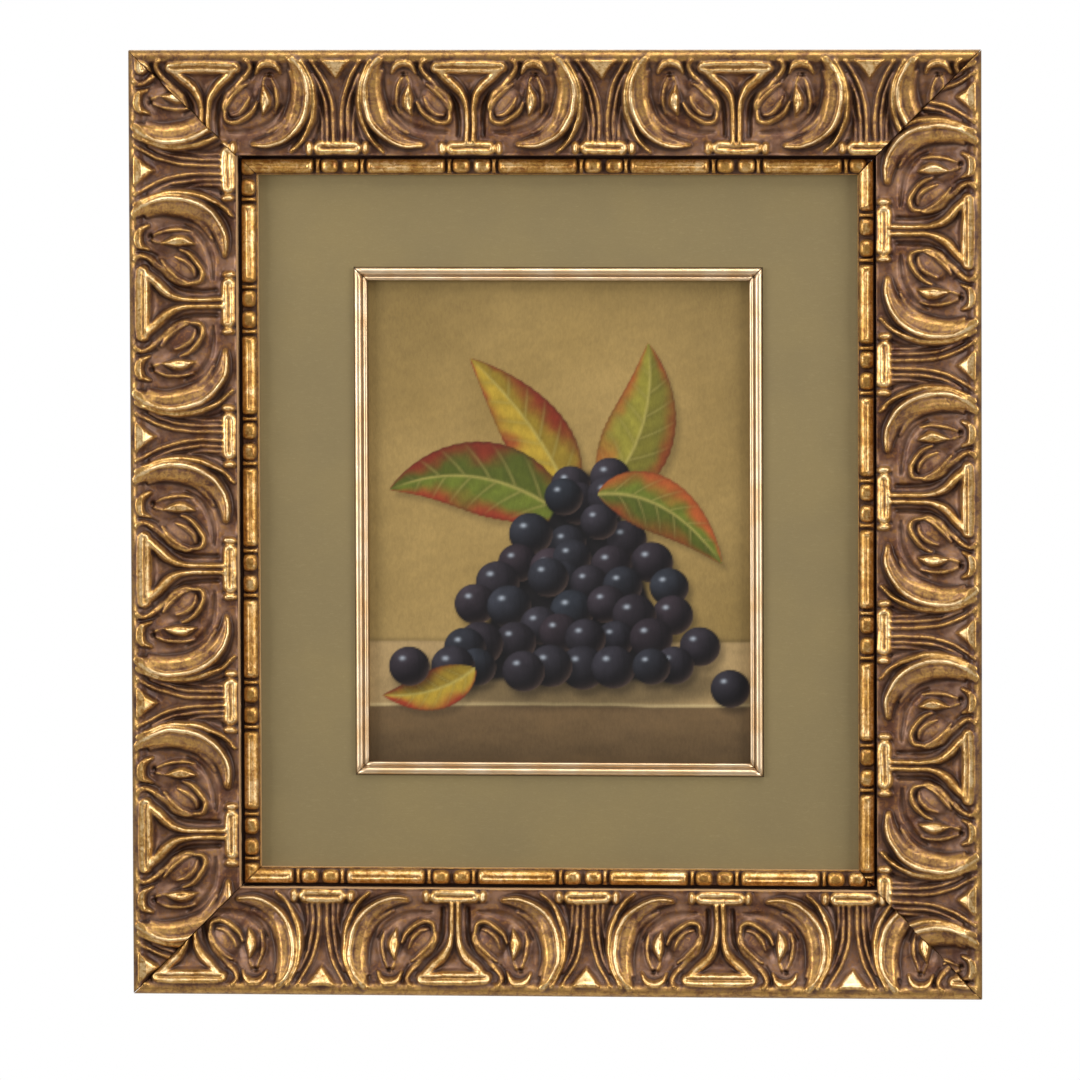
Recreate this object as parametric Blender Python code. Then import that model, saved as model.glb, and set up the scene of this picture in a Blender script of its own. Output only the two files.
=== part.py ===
"""A framed still life picture: carved and gilded frame, slip, mat, fillet and painted panel.

Every length below is in millimetres and becomes metres where a mesh is made.
+Z is up, the picture faces -Y and the wall that it hangs on is the plane Y = 0.
The origin is where the sawtooth hanger bears on that wall.

Each side of the frame, the slip and the fillet is one mitred length of moulding. It is made
lying along its own X, centred, with its outer edge at Z = 0, its width running up to +Z and
its height above the frame's back plane running to -Y, and is then turned into its place.
"""

import math

import bmesh
import bpy
import numpy as np
from mathutils import Euler, Matrix, Vector, geometry

MM = 0.001

# Overall sizes, as seen from the front
FRAME_WIDTH = 438.0
FRAME_HEIGHT = 486.0
RAIL_WIDTH = 55.0
SLIP_SIGHT = 64.5
FILLET_WIDTH = 7.0
SIGHT_WIDTH = 197.0
SIGHT_HEIGHT = 248.0
PANEL_WIDTH = 203.0
PANEL_HEIGHT = 254.0

# Fits
MITRE_GAP = 0.3
FIT_GAP = 0.3

# Heights above the back plane of the rails
RAIL_REBATE_TOP = 19.0
RAIL_EDGE_TOP = 14.0
SLIP_REBATE_TOP = 15.0
SLIP_BACK = 2.0
SLIP_GROUND = 19.0
SLIP_BEAD_CREST = 23.5
MAT_THICKNESS = 2.0
FLANGE_THICKNESS = 1.0
PANEL_THICKNESS = 3.0
BACKING_THICKNESS = 2.6
HANGER_STANDOFF = 3.4

# Distances in from the frame's outer edge
RAIL_UNDERCUT = 4.4
RAIL_REBATE = 46.0
SLIP_OUTER = 46.4
SLIP_REBATE = 57.5
STACK_EDGE = 57.9

# Carved ornament of the rails: the repeat, and where one goblet stands on each rail
REPEAT = 137.0
GOBLET_AT = {"top": 43.5, "left": 24.0, "bottom": -53.0, "right": 13.5}

# The slip's bead in section: half its width, its shoulders' place and height as shares of the
# whole, how far the sight edge drops, and a bar's groove and rounded end
SLIP_BEAD_REACH = 3.9
SLIP_SHOULDER_PLACE = 0.55
SLIP_SHOULDER_HEIGHT = 0.82
SLIP_EDGE_DROP = 0.8
SLIP_END_CLEARANCE = 0.8
BAR_GROOVE = 0.7
BAR_END = 1.4

# Bars and beads of the slip: the repeat, and where one bar's middle lies on each side
BEAD_REPEAT = 68.0
BAR_LENGTH = 40.5
BEAD_LENGTH = 8.0
BEAD_SPACING = 11.5
BEAD_COLUMNS = ((-1.0, 0.05), (-0.75, 0.66), (0.0, 1.0), (0.75, 0.66), (1.0, 0.05))
BAR_AT = {"top": 9.7, "left": -7.4, "bottom": -21.6, "right": -23.5}

# The fillet in section: how far its flange runs behind the mat, its two beads as (width, rise,
# foot over the mat) and how far below the mat's face its sight edge is
FILLET_FLANGE = 5.0
FILLET_BEADS = ((4.4, 3.0, 0.2), (2.0, 1.3, -0.2))
FILLET_BEAD_STEPS = 4
FILLET_EDGE_DROP = 0.9

# Small metal and felt parts
HANGER_FROM_TOP = 30.0
HANGER_LENGTH = 64.0
HANGER_HEIGHT = 12.0
HANGER_SHEET = 1.2
HANGER_FOOT = 11.0
HANGER_RISE = 3.0
HANGER_BEND = 0.5
TOOTH_PITCH = 4.0
TOOTH_DEPTH = 2.4
TOOTH_ROOT = 0.2
TOOTH_MARGIN = 4.0
NAIL_HEAD_RADIUS = 2.4
NAIL_SHANK_RADIUS = 0.9
NAIL_LENGTH = 12.0
NAIL_TIP_RADIUS = 0.2
NAIL_TIP = 2.0
NAIL_HEAD = 0.5
NAIL_CROWN = 1.0
NAIL_CROWN_SHARE = 0.6
NAIL_HOLE_REACH = 0.7
BUMPER_RADIUS = 6.5
BUMPER_INSET = 26.0
POINT_LENGTH = 15.0
POINT_WIDTH = 6.0
POINT_THICKNESS = 0.8
POINT_BITE = 5.0
POINT_TAPER = 0.55
POINT_SPREAD = {"top": (-75.0, 75.0), "bottom": (-75.0, 75.0)}
POINT_SPREAD_UPRIGHT = (-110.0, 0.0, 110.0)

CENTRE_Z = HANGER_FROM_TOP - FRAME_HEIGHT / 2
BACK_PLANE = -HANGER_STANDOFF

# name: (side length, quarter turns about Y, middle of the outer edge)
SIDES = {
    "bottom": (FRAME_WIDTH, 0, (0.0, CENTRE_Z - FRAME_HEIGHT / 2)),
    "right": (FRAME_HEIGHT, -1, (FRAME_WIDTH / 2, CENTRE_Z)),
    "top": (FRAME_WIDTH, 2, (0.0, CENTRE_Z + FRAME_HEIGHT / 2)),
    "left": (FRAME_HEIGHT, 1, (-FRAME_WIDTH / 2, CENTRE_Z)),
}

# The rail's plain front: (distance in from the outer edge, height), a rounded lip and a long cove.
# MITRE_ROWS are the distances in at which points stand on the mitres, none of them in line with
# the rebate's wall.
RAIL_FRONT = (
    (0.0, 34.8),
    (1.2, 37.2),
    (3.2, 38.0),
    (5.4, 37.0),
    (7.4, 34.2),
    (13.0, 31.6),
    (21.0, 29.2),
    (31.0, 27.4),
    (41.0, 26.6),
    (55.0, 26.6),
)
MITRE_ROWS = (0.0, 1.2, 3.2, 5.4, 7.4, 10.0, 13.5, 17.5, 21.5, 26.0, 31.0, 36.0, 40.5, 44.7, 50.0, 55.0)

# Carved ridges of half a repeat. Each is (half width, height, points), and a point is
# (distance from the goblet's axis, distance in from the rail's outer edge).
GOBLET_RIDGES = (
    (3.2, 3.4, ((0.0, 9.2), (10.0, 9.2), (19.0, 9.2))),
    (2.4, 3.4, ((19.0, 9.2), (12.6, 15.0), (6.0, 20.5), (0.0, 27.0))),
    (2.8, 3.6, ((0.0, 27.0), (0.0, 37.0), (0.0, 47.0))),
    (2.0, 2.8, ((22.6, 7.8), (23.6, 10.2), (21.4, 13.8), (15.6, 19.0), (11.0, 24.0), (9.8, 29.0))),
)
BUD_RIDGES = (
    (2.4, 3.4, ((10.6, 31.5), (11.0, 36.4), (17.5, 35.8), (24.0, 31.8), (27.2, 26.0), (26.0, 19.5))),
    (2.6, 3.8, ((25.6, 14.6), (31.0, 18.0), (34.2, 23.0), (34.0, 28.5), (30.6, 33.2))),
    (2.6, 3.4, ((27.4, 8.0), (29.8, 12.0), (36.4, 12.2), (39.6, 8.0))),
)
CRESCENT_RIDGES = (
    (
        3.6,
        5.0,
        (
            (42.6, 7.8),
            (45.2, 14.0),
            (47.7, 22.0),
            (47.4, 29.5),
            (45.0, 38.0),
            (38.0, 46.3),
            (30.0, 49.8),
            (23.5, 49.6),
        ),
    ),
    (3.4, 4.2, ((46.4, 7.8), (50.4, 11.0), (54.6, 19.5), (56.6, 28.5), (54.4, 38.0), (49.8, 45.5), (45.4, 51.4))),
)
HUSK_RIDGES = (
    (2.2, 2.8, ((68.5, 46.5), (68.5, 35.0), (68.5, 24.0))),
    (2.2, 3.0, ((68.5, 24.0), (65.0, 15.5), (59.5, 7.8))),
    (2.0, 2.2, ((63.2, 46.5), (63.2, 34.0), (61.6, 24.0), (58.6, 14.5))),
)
RIDGES = GOBLET_RIDGES + BUD_RIDGES + CRESCENT_RIDGES + HUSK_RIDGES
RIDGE_STEP = 6.0

# Low domes under the ridges: (middle, radii, height), measured as the ridges are
DOMES = (
    ((18.5, 27.5), (9.0, 8.5), 2.4),
    ((51.5, 27.0), (6.0, 17.0), 3.0),
    ((68.5, 8.0), (8.5, 10.0), 2.0),
)

# The short bars along the rail's inner edge, one at each goblet and one at each husk
EDGE_BAR_HALF = 14.5
EDGE_BAR_ROWS = (48.4, 53.6)
EDGE_BAR_HEIGHT = 2.6
EDGE_BAR_SLOPE = 0.6

# Spacing of the points that make up the rail's front
VALLEY_SPACING = 6.5
CLEAR_OF_RIDGE = 2.9
FOOT_CLEAR_OF_RIDGE = 1.8
FOOT_CLEAR_OF_BAR = 1.0
CLEAR_OF_MITRE = 1.6
FOOT_SPACING = 3.0
FIRST_ROW = 9.0
LAST_ROW = 52.5
LENGTHWISE_POINTS = 40
LIP_ROWS = (1, 2, 3)
LIP_FOOT_ROW = 4
MERGE_DISTANCE = 0.02
ON_MITRE = 0.05
ON_EDGE = 1e-4

GILT = ((0.58, 0.38, 0.12), 0.35, 0.9)
PALE_GOLD = ((0.82, 0.68, 0.5), 0.2, 0.95)
OLIVE_BOARD = ((0.28, 0.24, 0.11), 0.85, 0.0)
PAINT = ((0.36, 0.28, 0.14), 0.55, 0.0)
GREY_BOARD = ((0.42, 0.38, 0.32), 0.9, 0.0)
KRAFT_BOARD = ((0.4, 0.27, 0.15), 0.85, 0.0)
STEEL = ((0.5, 0.5, 0.48), 0.4, 1.0)
BRASS = ((0.6, 0.45, 0.2), 0.35, 1.0)
FELT = ((0.06, 0.06, 0.06), 0.95, 0.0)


def clear_scene():
    for obj in list(bpy.data.objects):
        bpy.data.objects.remove(obj, do_unlink=True)


def material(name, finish):
    """A plain Principled material from (colour, roughness, metallic)."""
    made = bpy.data.materials.get(name)
    if made is None:
        colour, roughness, metallic = finish
        made = bpy.data.materials.new(name)
        made.use_nodes = True
        shader = made.node_tree.nodes["Principled BSDF"]
        shader.inputs["Base Color"].default_value = (*colour, 1.0)
        shader.inputs["Roughness"].default_value = roughness
        shader.inputs["Metallic"].default_value = metallic
    return made


def object_from(name, bm, finish_name, finish):
    """Makes an object of a bmesh whose points are in millimetres."""
    bmesh.ops.recalc_face_normals(bm, faces=bm.faces)
    bmesh.ops.scale(bm, vec=(MM, MM, MM), verts=bm.verts)
    mesh = bpy.data.meshes.new(name)
    bm.to_mesh(mesh)
    bm.free()
    mesh.materials.append(material(finish_name, finish))
    obj = bpy.data.objects.new(name, mesh)
    bpy.context.scene.collection.objects.link(obj)
    return obj


def put_on_side(obj, side, inset=0.0):
    """Turns a length of moulding into its place on a side, with its outer edge inset from the frame's."""
    _, turns, (x, z) = SIDES[side]
    turn = Euler((0.0, turns * math.pi / 2, 0.0))
    inward = Vector((0.0, 0.0, 1.0))
    inward.rotate(turn)
    obj.rotation_euler = turn
    obj.location = (Vector((x, BACK_PLANE, z)) + inward * inset) * MM


def spline(points, step):
    """Points about step apart on the smooth curve through the given ones (Catmull-Rom)."""
    held = np.array([points[0], *points, points[-1]], float)
    found = [held[1]]
    for a, b, c, d in zip(held, held[1:], held[2:], held[3:]):
        count = max(1, round(np.linalg.norm(c - b) / step))
        t = (np.arange(1, count + 1) / count)[:, None]
        found.extend(
            0.5 * (2 * b + (c - a) * t + (2 * a - 5 * b + 4 * c - d) * t**2 + (3 * b - a - 3 * c + d) * t**3)
        )
    return np.array(found)


def distance_to_line(points, line):
    """The distance of each point from a line of straight pieces."""
    nearest = np.full(len(points), np.inf)
    for a, b in zip(line, line[1:]):
        along = b - a
        t = np.clip(((points - a) @ along) / (along @ along), 0.0, 1.0)
        nearest = np.minimum(nearest, np.linalg.norm(points - a - t[:, None] * along, axis=1))
    return nearest


def carved_height(points, goblet_at):
    """Height of the carving over the plain front at (u, v) points, u along the rail from its middle.

    It is the highest of the ridges, each (1 - (d/w)^2)^2 of its height at a distance d from its
    crest, over the sum of the low domes. The pattern repeats along u and is mirrored at each axis."""
    offset = np.abs((points[:, 0] - goblet_at + REPEAT / 2) % REPEAT - REPEAT / 2)
    folded = np.column_stack([offset, points[:, 1]])
    total = np.zeros(len(points))
    for half_width, height, ridge_points in RIDGES:
        line = spline(ridge_points, RIDGE_STEP)
        across = np.minimum(distance_to_line(folded, line) / half_width, 1.0)
        total = np.maximum(total, height * (1 - across**2) ** 2)
    for middle, radii, height in DOMES:
        across = np.linalg.norm((folded - middle) / radii, axis=1)
        total = np.maximum(total, height * (1 - np.minimum(across, 1.0) ** 2))
    to_bar = np.abs((points[:, 0] - goblet_at + REPEAT / 4) % (REPEAT / 2) - REPEAT / 4) - EDGE_BAR_HALF
    low, high = EDGE_BAR_ROWS
    outside = np.maximum(to_bar, np.maximum(low - points[:, 1], points[:, 1] - high))
    bar = EDGE_BAR_HEIGHT * np.clip(1 - outside / EDGE_BAR_SLOPE, 0.0, 1.0)
    return np.maximum(total, bar)


def front_height(points, goblet_at):
    rows, heights = zip(*RAIL_FRONT)
    return np.interp(points[:, 1], rows, heights) + carved_height(points, goblet_at)


def mitre_limit(length, v):
    """Half the length of a mitred moulding at the distance v in from the frame's outer edge."""
    return length / 2 - v - MITRE_GAP * math.sqrt(0.5)


def clear_of_mitres(length, points):
    return np.abs(points[:, 0]) < mitre_limit(length, points[:, 1]) - CLEAR_OF_MITRE


def ridge_lines(length, goblet_at):
    """(half width, crest) of every ridge, cut off where it would reach the rail's mitres."""
    found = []
    count = math.ceil(length / REPEAT) + 1
    for number in range(-count, count + 1):
        for half_width, _, points in RIDGES:
            crest = spline(points, RIDGE_STEP)
            for sign in (1, -1):
                line = crest * (sign, 1) + (goblet_at + number * REPEAT, 0.0)
                clear = clear_of_mitres(length, line)
                cuts = np.flatnonzero(np.diff(clear.astype(int))) + 1
                for run, is_clear in zip(np.split(line, cuts), np.split(clear, cuts)):
                    if is_clear[0] and len(run) > 1:
                        found.append((half_width, run))
    return found


def far_from(points, lines, distance):
    """Which of the points lie further than a distance from every line."""
    clear = np.ones(len(points), bool)
    for line in lines:
        low, high = line.min(0) - distance, line.max(0) + distance
        near = np.all((points > low) & (points < high), axis=1) & clear
        if near.any():
            clear[near] = distance_to_line(points[near], line) > distance
    return clear


def foot_points(length, ridges):
    """Points along both feet of every ridge, where no other ridge is near."""
    found = []
    for half_width, line in ridges:
        along = np.gradient(line, axis=0)
        across = along[:, ::-1] * (1, -1) / np.linalg.norm(along, axis=1)[:, None]
        found += [line + across * half_width, line - across * half_width]
    found = np.vstack(found)
    inside = clear_of_mitres(length, found) & (found[:, 1] > FIRST_ROW) & (found[:, 1] < LAST_ROW)
    found = found[inside]
    found = found[far_from(found, [line for _, line in ridges], FOOT_CLEAR_OF_RIDGE)]
    kept = []
    for point in found:
        if all(abs(point - other).sum() > FOOT_SPACING for other in kept):
            kept.append(point)
    return np.array(kept)


def edge_bar_loops(length, goblet_at):
    """Top and foot outlines of each short bar on the rail's inner edge that is clear of the mitres."""
    found = []
    low, high = EDGE_BAR_ROWS
    count = math.ceil(length / REPEAT) * 2
    for number in range(-count, count + 1):
        middle = goblet_at + number * REPEAT / 2
        half = EDGE_BAR_HALF + EDGE_BAR_SLOPE
        if abs(middle) + half > mitre_limit(length, high) - CLEAR_OF_MITRE:
            continue
        for grow in (0.0, EDGE_BAR_SLOPE):
            u, first, last = EDGE_BAR_HALF + grow, low - grow, high + grow
            corners = ((-u, first), (u, first), (u, last), (-u, last))
            found.append(np.array([(middle + a, b) for a, b in corners]))
    return found


def valley_points(length, lines, feet):
    """A staggered grid of points wherever the ridges, their feet and the bars leave room."""
    rows = np.arange(FIRST_ROW + 1.0, LAST_ROW, VALLEY_SPACING * 0.87)
    found = []
    for number, v in enumerate(rows):
        limit = mitre_limit(length, v) - VALLEY_SPACING / 2
        u = np.arange(-limit, limit, VALLEY_SPACING) + (number % 2) * VALLEY_SPACING / 2
        found.extend((x, v) for x in u if abs(x) < limit)
    found = np.array(found)
    found = found[far_from(found, lines, CLEAR_OF_RIDGE)]
    gaps = np.linalg.norm(found[:, None] - feet[None], axis=2).min(axis=1)
    return found[gaps > CLEAR_OF_RIDGE]


class Plan:
    """Points and edges of a flat drawing that is still to be filled with triangles."""

    def __init__(self):
        self.points = []
        self.edges = []

    def add(self, line, closed=False):
        """Adds a line of points with the edges between them, and returns the points' numbers."""
        start = len(self.points)
        self.points.extend(Vector(point) for point in line)
        numbers = list(range(start, start + len(line)))
        self.edges.extend(zip(numbers, numbers[1:]))
        if closed:
            self.edges.append((numbers[-1], start))
        return numbers


def rail_outline(plan, length):
    """Adds the outline of a rail's front and the long rows of its lip to a plan."""
    left = [(-mitre_limit(length, v), v) for v in MITRE_ROWS]
    right = [(mitre_limit(length, v), v) for v in MITRE_ROWS]
    inner_end = mitre_limit(length, RAIL_WIDTH)
    inner_edge = [(u, RAIL_WIDTH) for u in np.linspace(inner_end, -inner_end, LENGTHWISE_POINTS)[1:-1]]
    border = plan.add([*left[::-1], *right, *inner_edge])
    rows = len(MITRE_ROWS)
    plan.edges.extend((border[rows - 1 - row], border[rows + row]) for row in LIP_ROWS)
    foot = MITRE_ROWS[LIP_FOOT_ROW]
    foot_end = mitre_limit(length, foot)
    lip_foot = [(u, foot) for u in np.linspace(-foot_end, foot_end, LENGTHWISE_POINTS)[1:-1]]
    along = [border[rows - 1 - LIP_FOOT_ROW], *plan.add(lip_foot), border[rows + LIP_FOOT_ROW]]
    plan.edges.extend(zip(along, along[1:]))
    return border


def rail_plan(length, goblet_at):
    """The rail's front seen from above: (points, triangles), with an edge along every crest and outline."""
    plan = Plan()
    border = rail_outline(plan, length)
    ridges = ridge_lines(length, goblet_at)
    lines = [line for _, line in ridges]
    bars = edge_bar_loops(length, goblet_at)
    for line in lines:
        plan.add(line)
    for loop in bars:
        plan.add(loop, closed=True)
    around_bars = [np.vstack([loop, loop[:1]]) for loop in bars]
    feet = foot_points(length, ridges)
    feet = feet[far_from(feet, around_bars, FOOT_CLEAR_OF_BAR)]
    valleys = valley_points(length, lines + around_bars, feet)
    points = [*plan.points, *(Vector(point) for point in (*feet, *valleys))]
    made, _, triangles, *_ = geometry.delaunay_2d_cdt(points, plan.edges, [border], 1, MERGE_DISTANCE)
    return np.array([tuple(point) for point in made]), triangles


def rail_back():
    """The rail's section behind its front, from the inner edge round to the undercut outer side."""
    return (
        (RAIL_WIDTH, RAIL_REBATE_TOP),
        (RAIL_REBATE, RAIL_REBATE_TOP),
        (RAIL_REBATE, 0.0),
        (RAIL_UNDERCUT, 0.0),
        (RAIL_UNDERCUT, RAIL_EDGE_TOP),
    )


def rail_mesh(length, goblet_at):
    """One mitred rail: the carved front over its plan, closed by its side, back and rebate."""
    plan, triangles = rail_plan(length, goblet_at)
    heights = front_height(plan, goblet_at)
    bm = bmesh.new()
    front = [bm.verts.new((u, -h, v)) for (u, v), h in zip(plan, heights)]
    for triangle in triangles:
        bm.faces.new([front[i] for i in triangle])
    border = [edge for edge in bm.edges if edge.is_boundary]
    rim = sorted({vert for edge in border for vert in edge.verts}, key=lambda vert: vert.co.z)
    ends = []
    for sign in (-1, 1):
        mitre = [vert for vert in rim if abs(sign * vert.co.x - mitre_limit(length, vert.co.z)) < ON_MITRE]
        corners = [bm.verts.new((sign * mitre_limit(length, v), -h, v)) for v, h in rail_back()]
        bm.faces.new([*mitre, *corners])
        ends.append(corners)
    low, high = ends
    for a, b in zip(range(len(low) - 1), range(1, len(low))):
        bm.faces.new((low[a], high[a], high[b], low[b]))
    for level, corner in ((0.0, -1), (RAIL_WIDTH, 0)):
        run = sorted((vert for vert in rim if abs(vert.co.z - level) < ON_EDGE), key=lambda vert: vert.co.x)
        bm.faces.new([*run, high[corner], low[corner]])
    bmesh.ops.triangulate(bm, faces=[face for face in bm.faces if len(face.verts) > 4])
    return bm


def make_rails():
    for side, (length, _, _) in SIDES.items():
        bm = rail_mesh(length, GOBLET_AT[side])
        put_on_side(object_from(f"rail_{side}", bm, "gilded_carving", GILT), side)


def swept_strip(sections, limit):
    """A closed length of moulding from cross-sections.

    sections are (u, outline), outline being a list of (v, height). The first and last are cut
    on the mitre: their points lie at limit(v), and not at u."""
    bm = bmesh.new()
    rings = []
    for number, (u, outline) in enumerate(sections):
        sign = {0: -1, len(sections) - 1: 1}.get(number, 0)
        rings.append([bm.verts.new((sign * limit(v) if sign else u, -h, v)) for v, h in outline])
    for ring, following in zip(rings, rings[1:]):
        count = len(ring)
        for a in range(count):
            b = (a + 1) % count
            bm.faces.new((ring[a], ring[b], following[b], following[a]))
    for ring in (rings[0], rings[-1]):
        bm.faces.new(ring)
    return bm


def slip_outline(raised, groove):
    """Cross-section of the slip. raised is how far its bead stands, from 0 to 1, and groove how deep
    the line along a bar's middle is."""
    middle = (RAIL_WIDTH + SLIP_SIGHT) / 2
    reach = SLIP_BEAD_REACH * (1 + raised) / 2
    rise = (SLIP_BEAD_CREST - SLIP_GROUND) * raised
    top = SLIP_GROUND + rise
    shoulder = SLIP_GROUND + rise * SLIP_SHOULDER_HEIGHT
    return [
        (RAIL_WIDTH + FIT_GAP, SLIP_GROUND),
        (middle - reach, SLIP_GROUND),
        (middle - reach * SLIP_SHOULDER_PLACE, shoulder),
        (middle, top - groove),
        (middle + reach * SLIP_SHOULDER_PLACE, shoulder),
        (middle + reach, SLIP_GROUND),
        (SLIP_SIGHT, SLIP_GROUND - SLIP_EDGE_DROP),
        (SLIP_SIGHT, SLIP_REBATE_TOP),
        (SLIP_REBATE, SLIP_REBATE_TOP),
        (SLIP_REBATE, SLIP_BACK),
        (SLIP_OUTER, SLIP_BACK),
        (SLIP_OUTER, RAIL_REBATE_TOP - FIT_GAP),
        (RAIL_WIDTH + FIT_GAP, RAIL_REBATE_TOP - FIT_GAP),
    ]


def slip_columns(bar_at, inner_limit):
    """Where the slip's section changes along its length: (u, raised, groove) for bars and beads."""
    half_bar, half_bead, step = BAR_LENGTH / 2, BEAD_LENGTH / 2, BEAD_SPACING / 2
    found = []
    for number in range(-5, 6):
        bar = bar_at + number * BEAD_REPEAT
        found += [(bar - half_bar, 0.1, 0.0), (bar - half_bar + BAR_END, 0.95, BAR_GROOVE)]
        found += [(bar + half_bar - BAR_END, 0.95, BAR_GROOVE), (bar + half_bar, 0.1, 0.0)]
        gap = bar + BEAD_REPEAT / 2
        for bead in (gap - step, gap + step):
            found += [(bead + half_bead * a, raised, 0.0) for a, raised in BEAD_COLUMNS]
    return [column for column in sorted(found) if abs(column[0]) < inner_limit]


def slip_mesh(length, bar_at):
    """One mitred length of slip. Its own outer edge is SLIP_OUTER in from the frame's."""

    def limit(v):
        return mitre_limit(length, v)

    columns = slip_columns(bar_at, limit(SLIP_SIGHT) - SLIP_END_CLEARANCE)
    sections = [(u, slip_outline(raised, groove)) for u, raised, groove in columns]
    return swept_strip([sections[0], *sections, sections[-1]], limit)


def point_places(side):
    """Where the glazing points stand along a side, from its middle."""
    return POINT_SPREAD.get(side, POINT_SPREAD_UPRIGHT)


def point_top():
    """Height of the glazing points' faces that press on the backing board."""
    return stack_levels()["backing_board"][0] - FIT_GAP


def box_mesh(low, high):
    bm = bmesh.new()
    bmesh.ops.create_cube(bm, size=1.0)
    middle, size = (Vector(low) + Vector(high)) / 2, Vector(high) - Vector(low)
    bmesh.ops.scale(bm, vec=size, verts=bm.verts)
    bmesh.ops.translate(bm, vec=middle, verts=bm.verts)
    return bm


def cut_with(obj, name, bm):
    """Cuts a hidden shape, made in the object's own place and turn, out of an object, and returns it."""
    cutter = object_from(name, bm, "bare_steel", STEEL)
    cutter.location, cutter.rotation_euler = obj.location, obj.rotation_euler
    cutter.hide_render = True
    cutter.display_type = "WIRE"
    cut = obj.modifiers.new(name, "BOOLEAN")
    cut.operation = "DIFFERENCE"
    cut.solver = "EXACT"
    cut.object = cutter
    return cutter


def make_slips():
    for side, (length, _, _) in SIDES.items():
        obj = object_from(f"slip_{side}", slip_mesh(length, BAR_AT[side]), "gilded_slip", GILT)
        put_on_side(obj, side)
        high = point_top() + FIT_GAP
        low = high - POINT_THICKNESS - 2 * FIT_GAP
        half = POINT_WIDTH / 2 + FIT_GAP
        for number, u in enumerate(point_places(side)):
            start = SLIP_REBATE - POINT_BITE - FIT_GAP
            slot = box_mesh((u - half, -high, start), (u + half, -low, SLIP_REBATE + 1.0))
            cut_with(obj, f"point_slot_{side}_{number}", slot)


def make_points():
    """Flat steel points pushed into the slip's rebate wall, over the backing board's edge."""
    high = point_top()
    for side in SIDES:
        for number, u in enumerate(point_places(side)):
            half, start = POINT_WIDTH / 2, SLIP_REBATE - POINT_BITE
            bm = box_mesh(
                (u - half, -high, start), (u + half, -high + POINT_THICKNESS, start + POINT_LENGTH)
            )
            inner = [vert for vert in bm.verts if vert.co.z > start + 1.0]
            to_middle = Matrix.Translation((-u, 0.0, 0.0))
            bmesh.ops.scale(bm, vec=(POINT_TAPER, 1.0, 1.0), verts=inner, space=to_middle)
            obj = object_from(f"glazing_point_{side}_{number + 1}", bm, "bare_steel", STEEL)
            put_on_side(obj, side)


def stack_levels():
    """(low, high) height of each flat layer held in the slip's rebate, from the mat to the back."""
    top = SLIP_REBATE_TOP - FIT_GAP
    found = {}
    for name, thickness in (
        ("mat", MAT_THICKNESS),
        ("flange", FLANGE_THICKNESS),
        ("picture_panel", PANEL_THICKNESS),
        ("backing_board", BACKING_THICKNESS),
    ):
        found[name] = (top - thickness, top)
        top -= thickness + FIT_GAP
    return found


def board_mesh(width, height, level, window=None):
    """A flat board in the stack, with a rectangular window where one is given."""
    bm = bmesh.new()
    low, high = level
    loops = []
    for w, h in [(width, height)] + ([window] if window else []):
        corners = ((-w / 2, -h / 2), (w / 2, -h / 2), (w / 2, h / 2), (-w / 2, h / 2))
        loops.append([[bm.verts.new((x, -y, z)) for x, z in corners] for y in (low, high)])
    for back, front in loops:
        for a in range(4):
            b = (a + 1) % 4
            bm.faces.new((back[a], back[b], front[b], front[a]))
    if window:
        for level_number in (0, 1):
            outer, inner = loops[0][level_number], loops[1][level_number]
            for a in range(4):
                b = (a + 1) % 4
                bm.faces.new((outer[a], outer[b], inner[b], inner[a]))
    else:
        for loop in loops[0]:
            bm.faces.new(loop)
    return bm


def make_boards():
    """The mat, the sink board round the panel, the panel and the backing board."""
    levels = stack_levels()
    width, height = FRAME_WIDTH - 2 * STACK_EDGE, FRAME_HEIGHT - 2 * STACK_EDGE
    opening = SIGHT_WIDTH + 2 * FILLET_WIDTH, SIGHT_HEIGHT + 2 * FILLET_WIDTH
    sink = PANEL_WIDTH + 2 * FIT_GAP, PANEL_HEIGHT + 2 * FIT_GAP
    boards = (
        ("mat", board_mesh(width, height, levels["mat"], opening), "olive_board", OLIVE_BOARD),
        ("sink_board", board_mesh(width, height, levels["picture_panel"], sink), "grey_board", GREY_BOARD),
        (
            "picture_panel",
            board_mesh(PANEL_WIDTH, PANEL_HEIGHT, levels["picture_panel"]),
            "painted_panel",
            PAINT,
        ),
        ("backing_board", board_mesh(width, height, levels["backing_board"]), "kraft_board", KRAFT_BOARD),
    )
    for name, bm, finish_name, finish in boards:
        obj = object_from(name, bm, finish_name, finish)
        obj.location = Vector((0.0, BACK_PLANE, CENTRE_Z)) * MM


def fillet_outline():
    """Cross-section of the fillet: a wide bead, a fine one and the flange behind the mat, as
    (distance in from the mat's window, height)."""
    low, flange_top = stack_levels()["flange"]
    mat_top = stack_levels()["mat"][1]
    outline = [(-FILLET_FLANGE, low), (-FILLET_FLANGE, flange_top), (FIT_GAP, flange_top), (FIT_GAP, mat_top)]
    first = FIT_GAP
    for across, rise, foot in FILLET_BEADS:
        for number in range(FILLET_BEAD_STEPS + 1):
            angle = math.pi * (1 - number / FILLET_BEAD_STEPS)
            place = first + across / 2 * (1 + math.cos(angle))
            outline.append((place, mat_top + foot + rise * math.sin(angle)))
        first += across
    outline += [(FILLET_WIDTH, mat_top - FILLET_EDGE_DROP), (FILLET_WIDTH, low)]
    return outline


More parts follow.
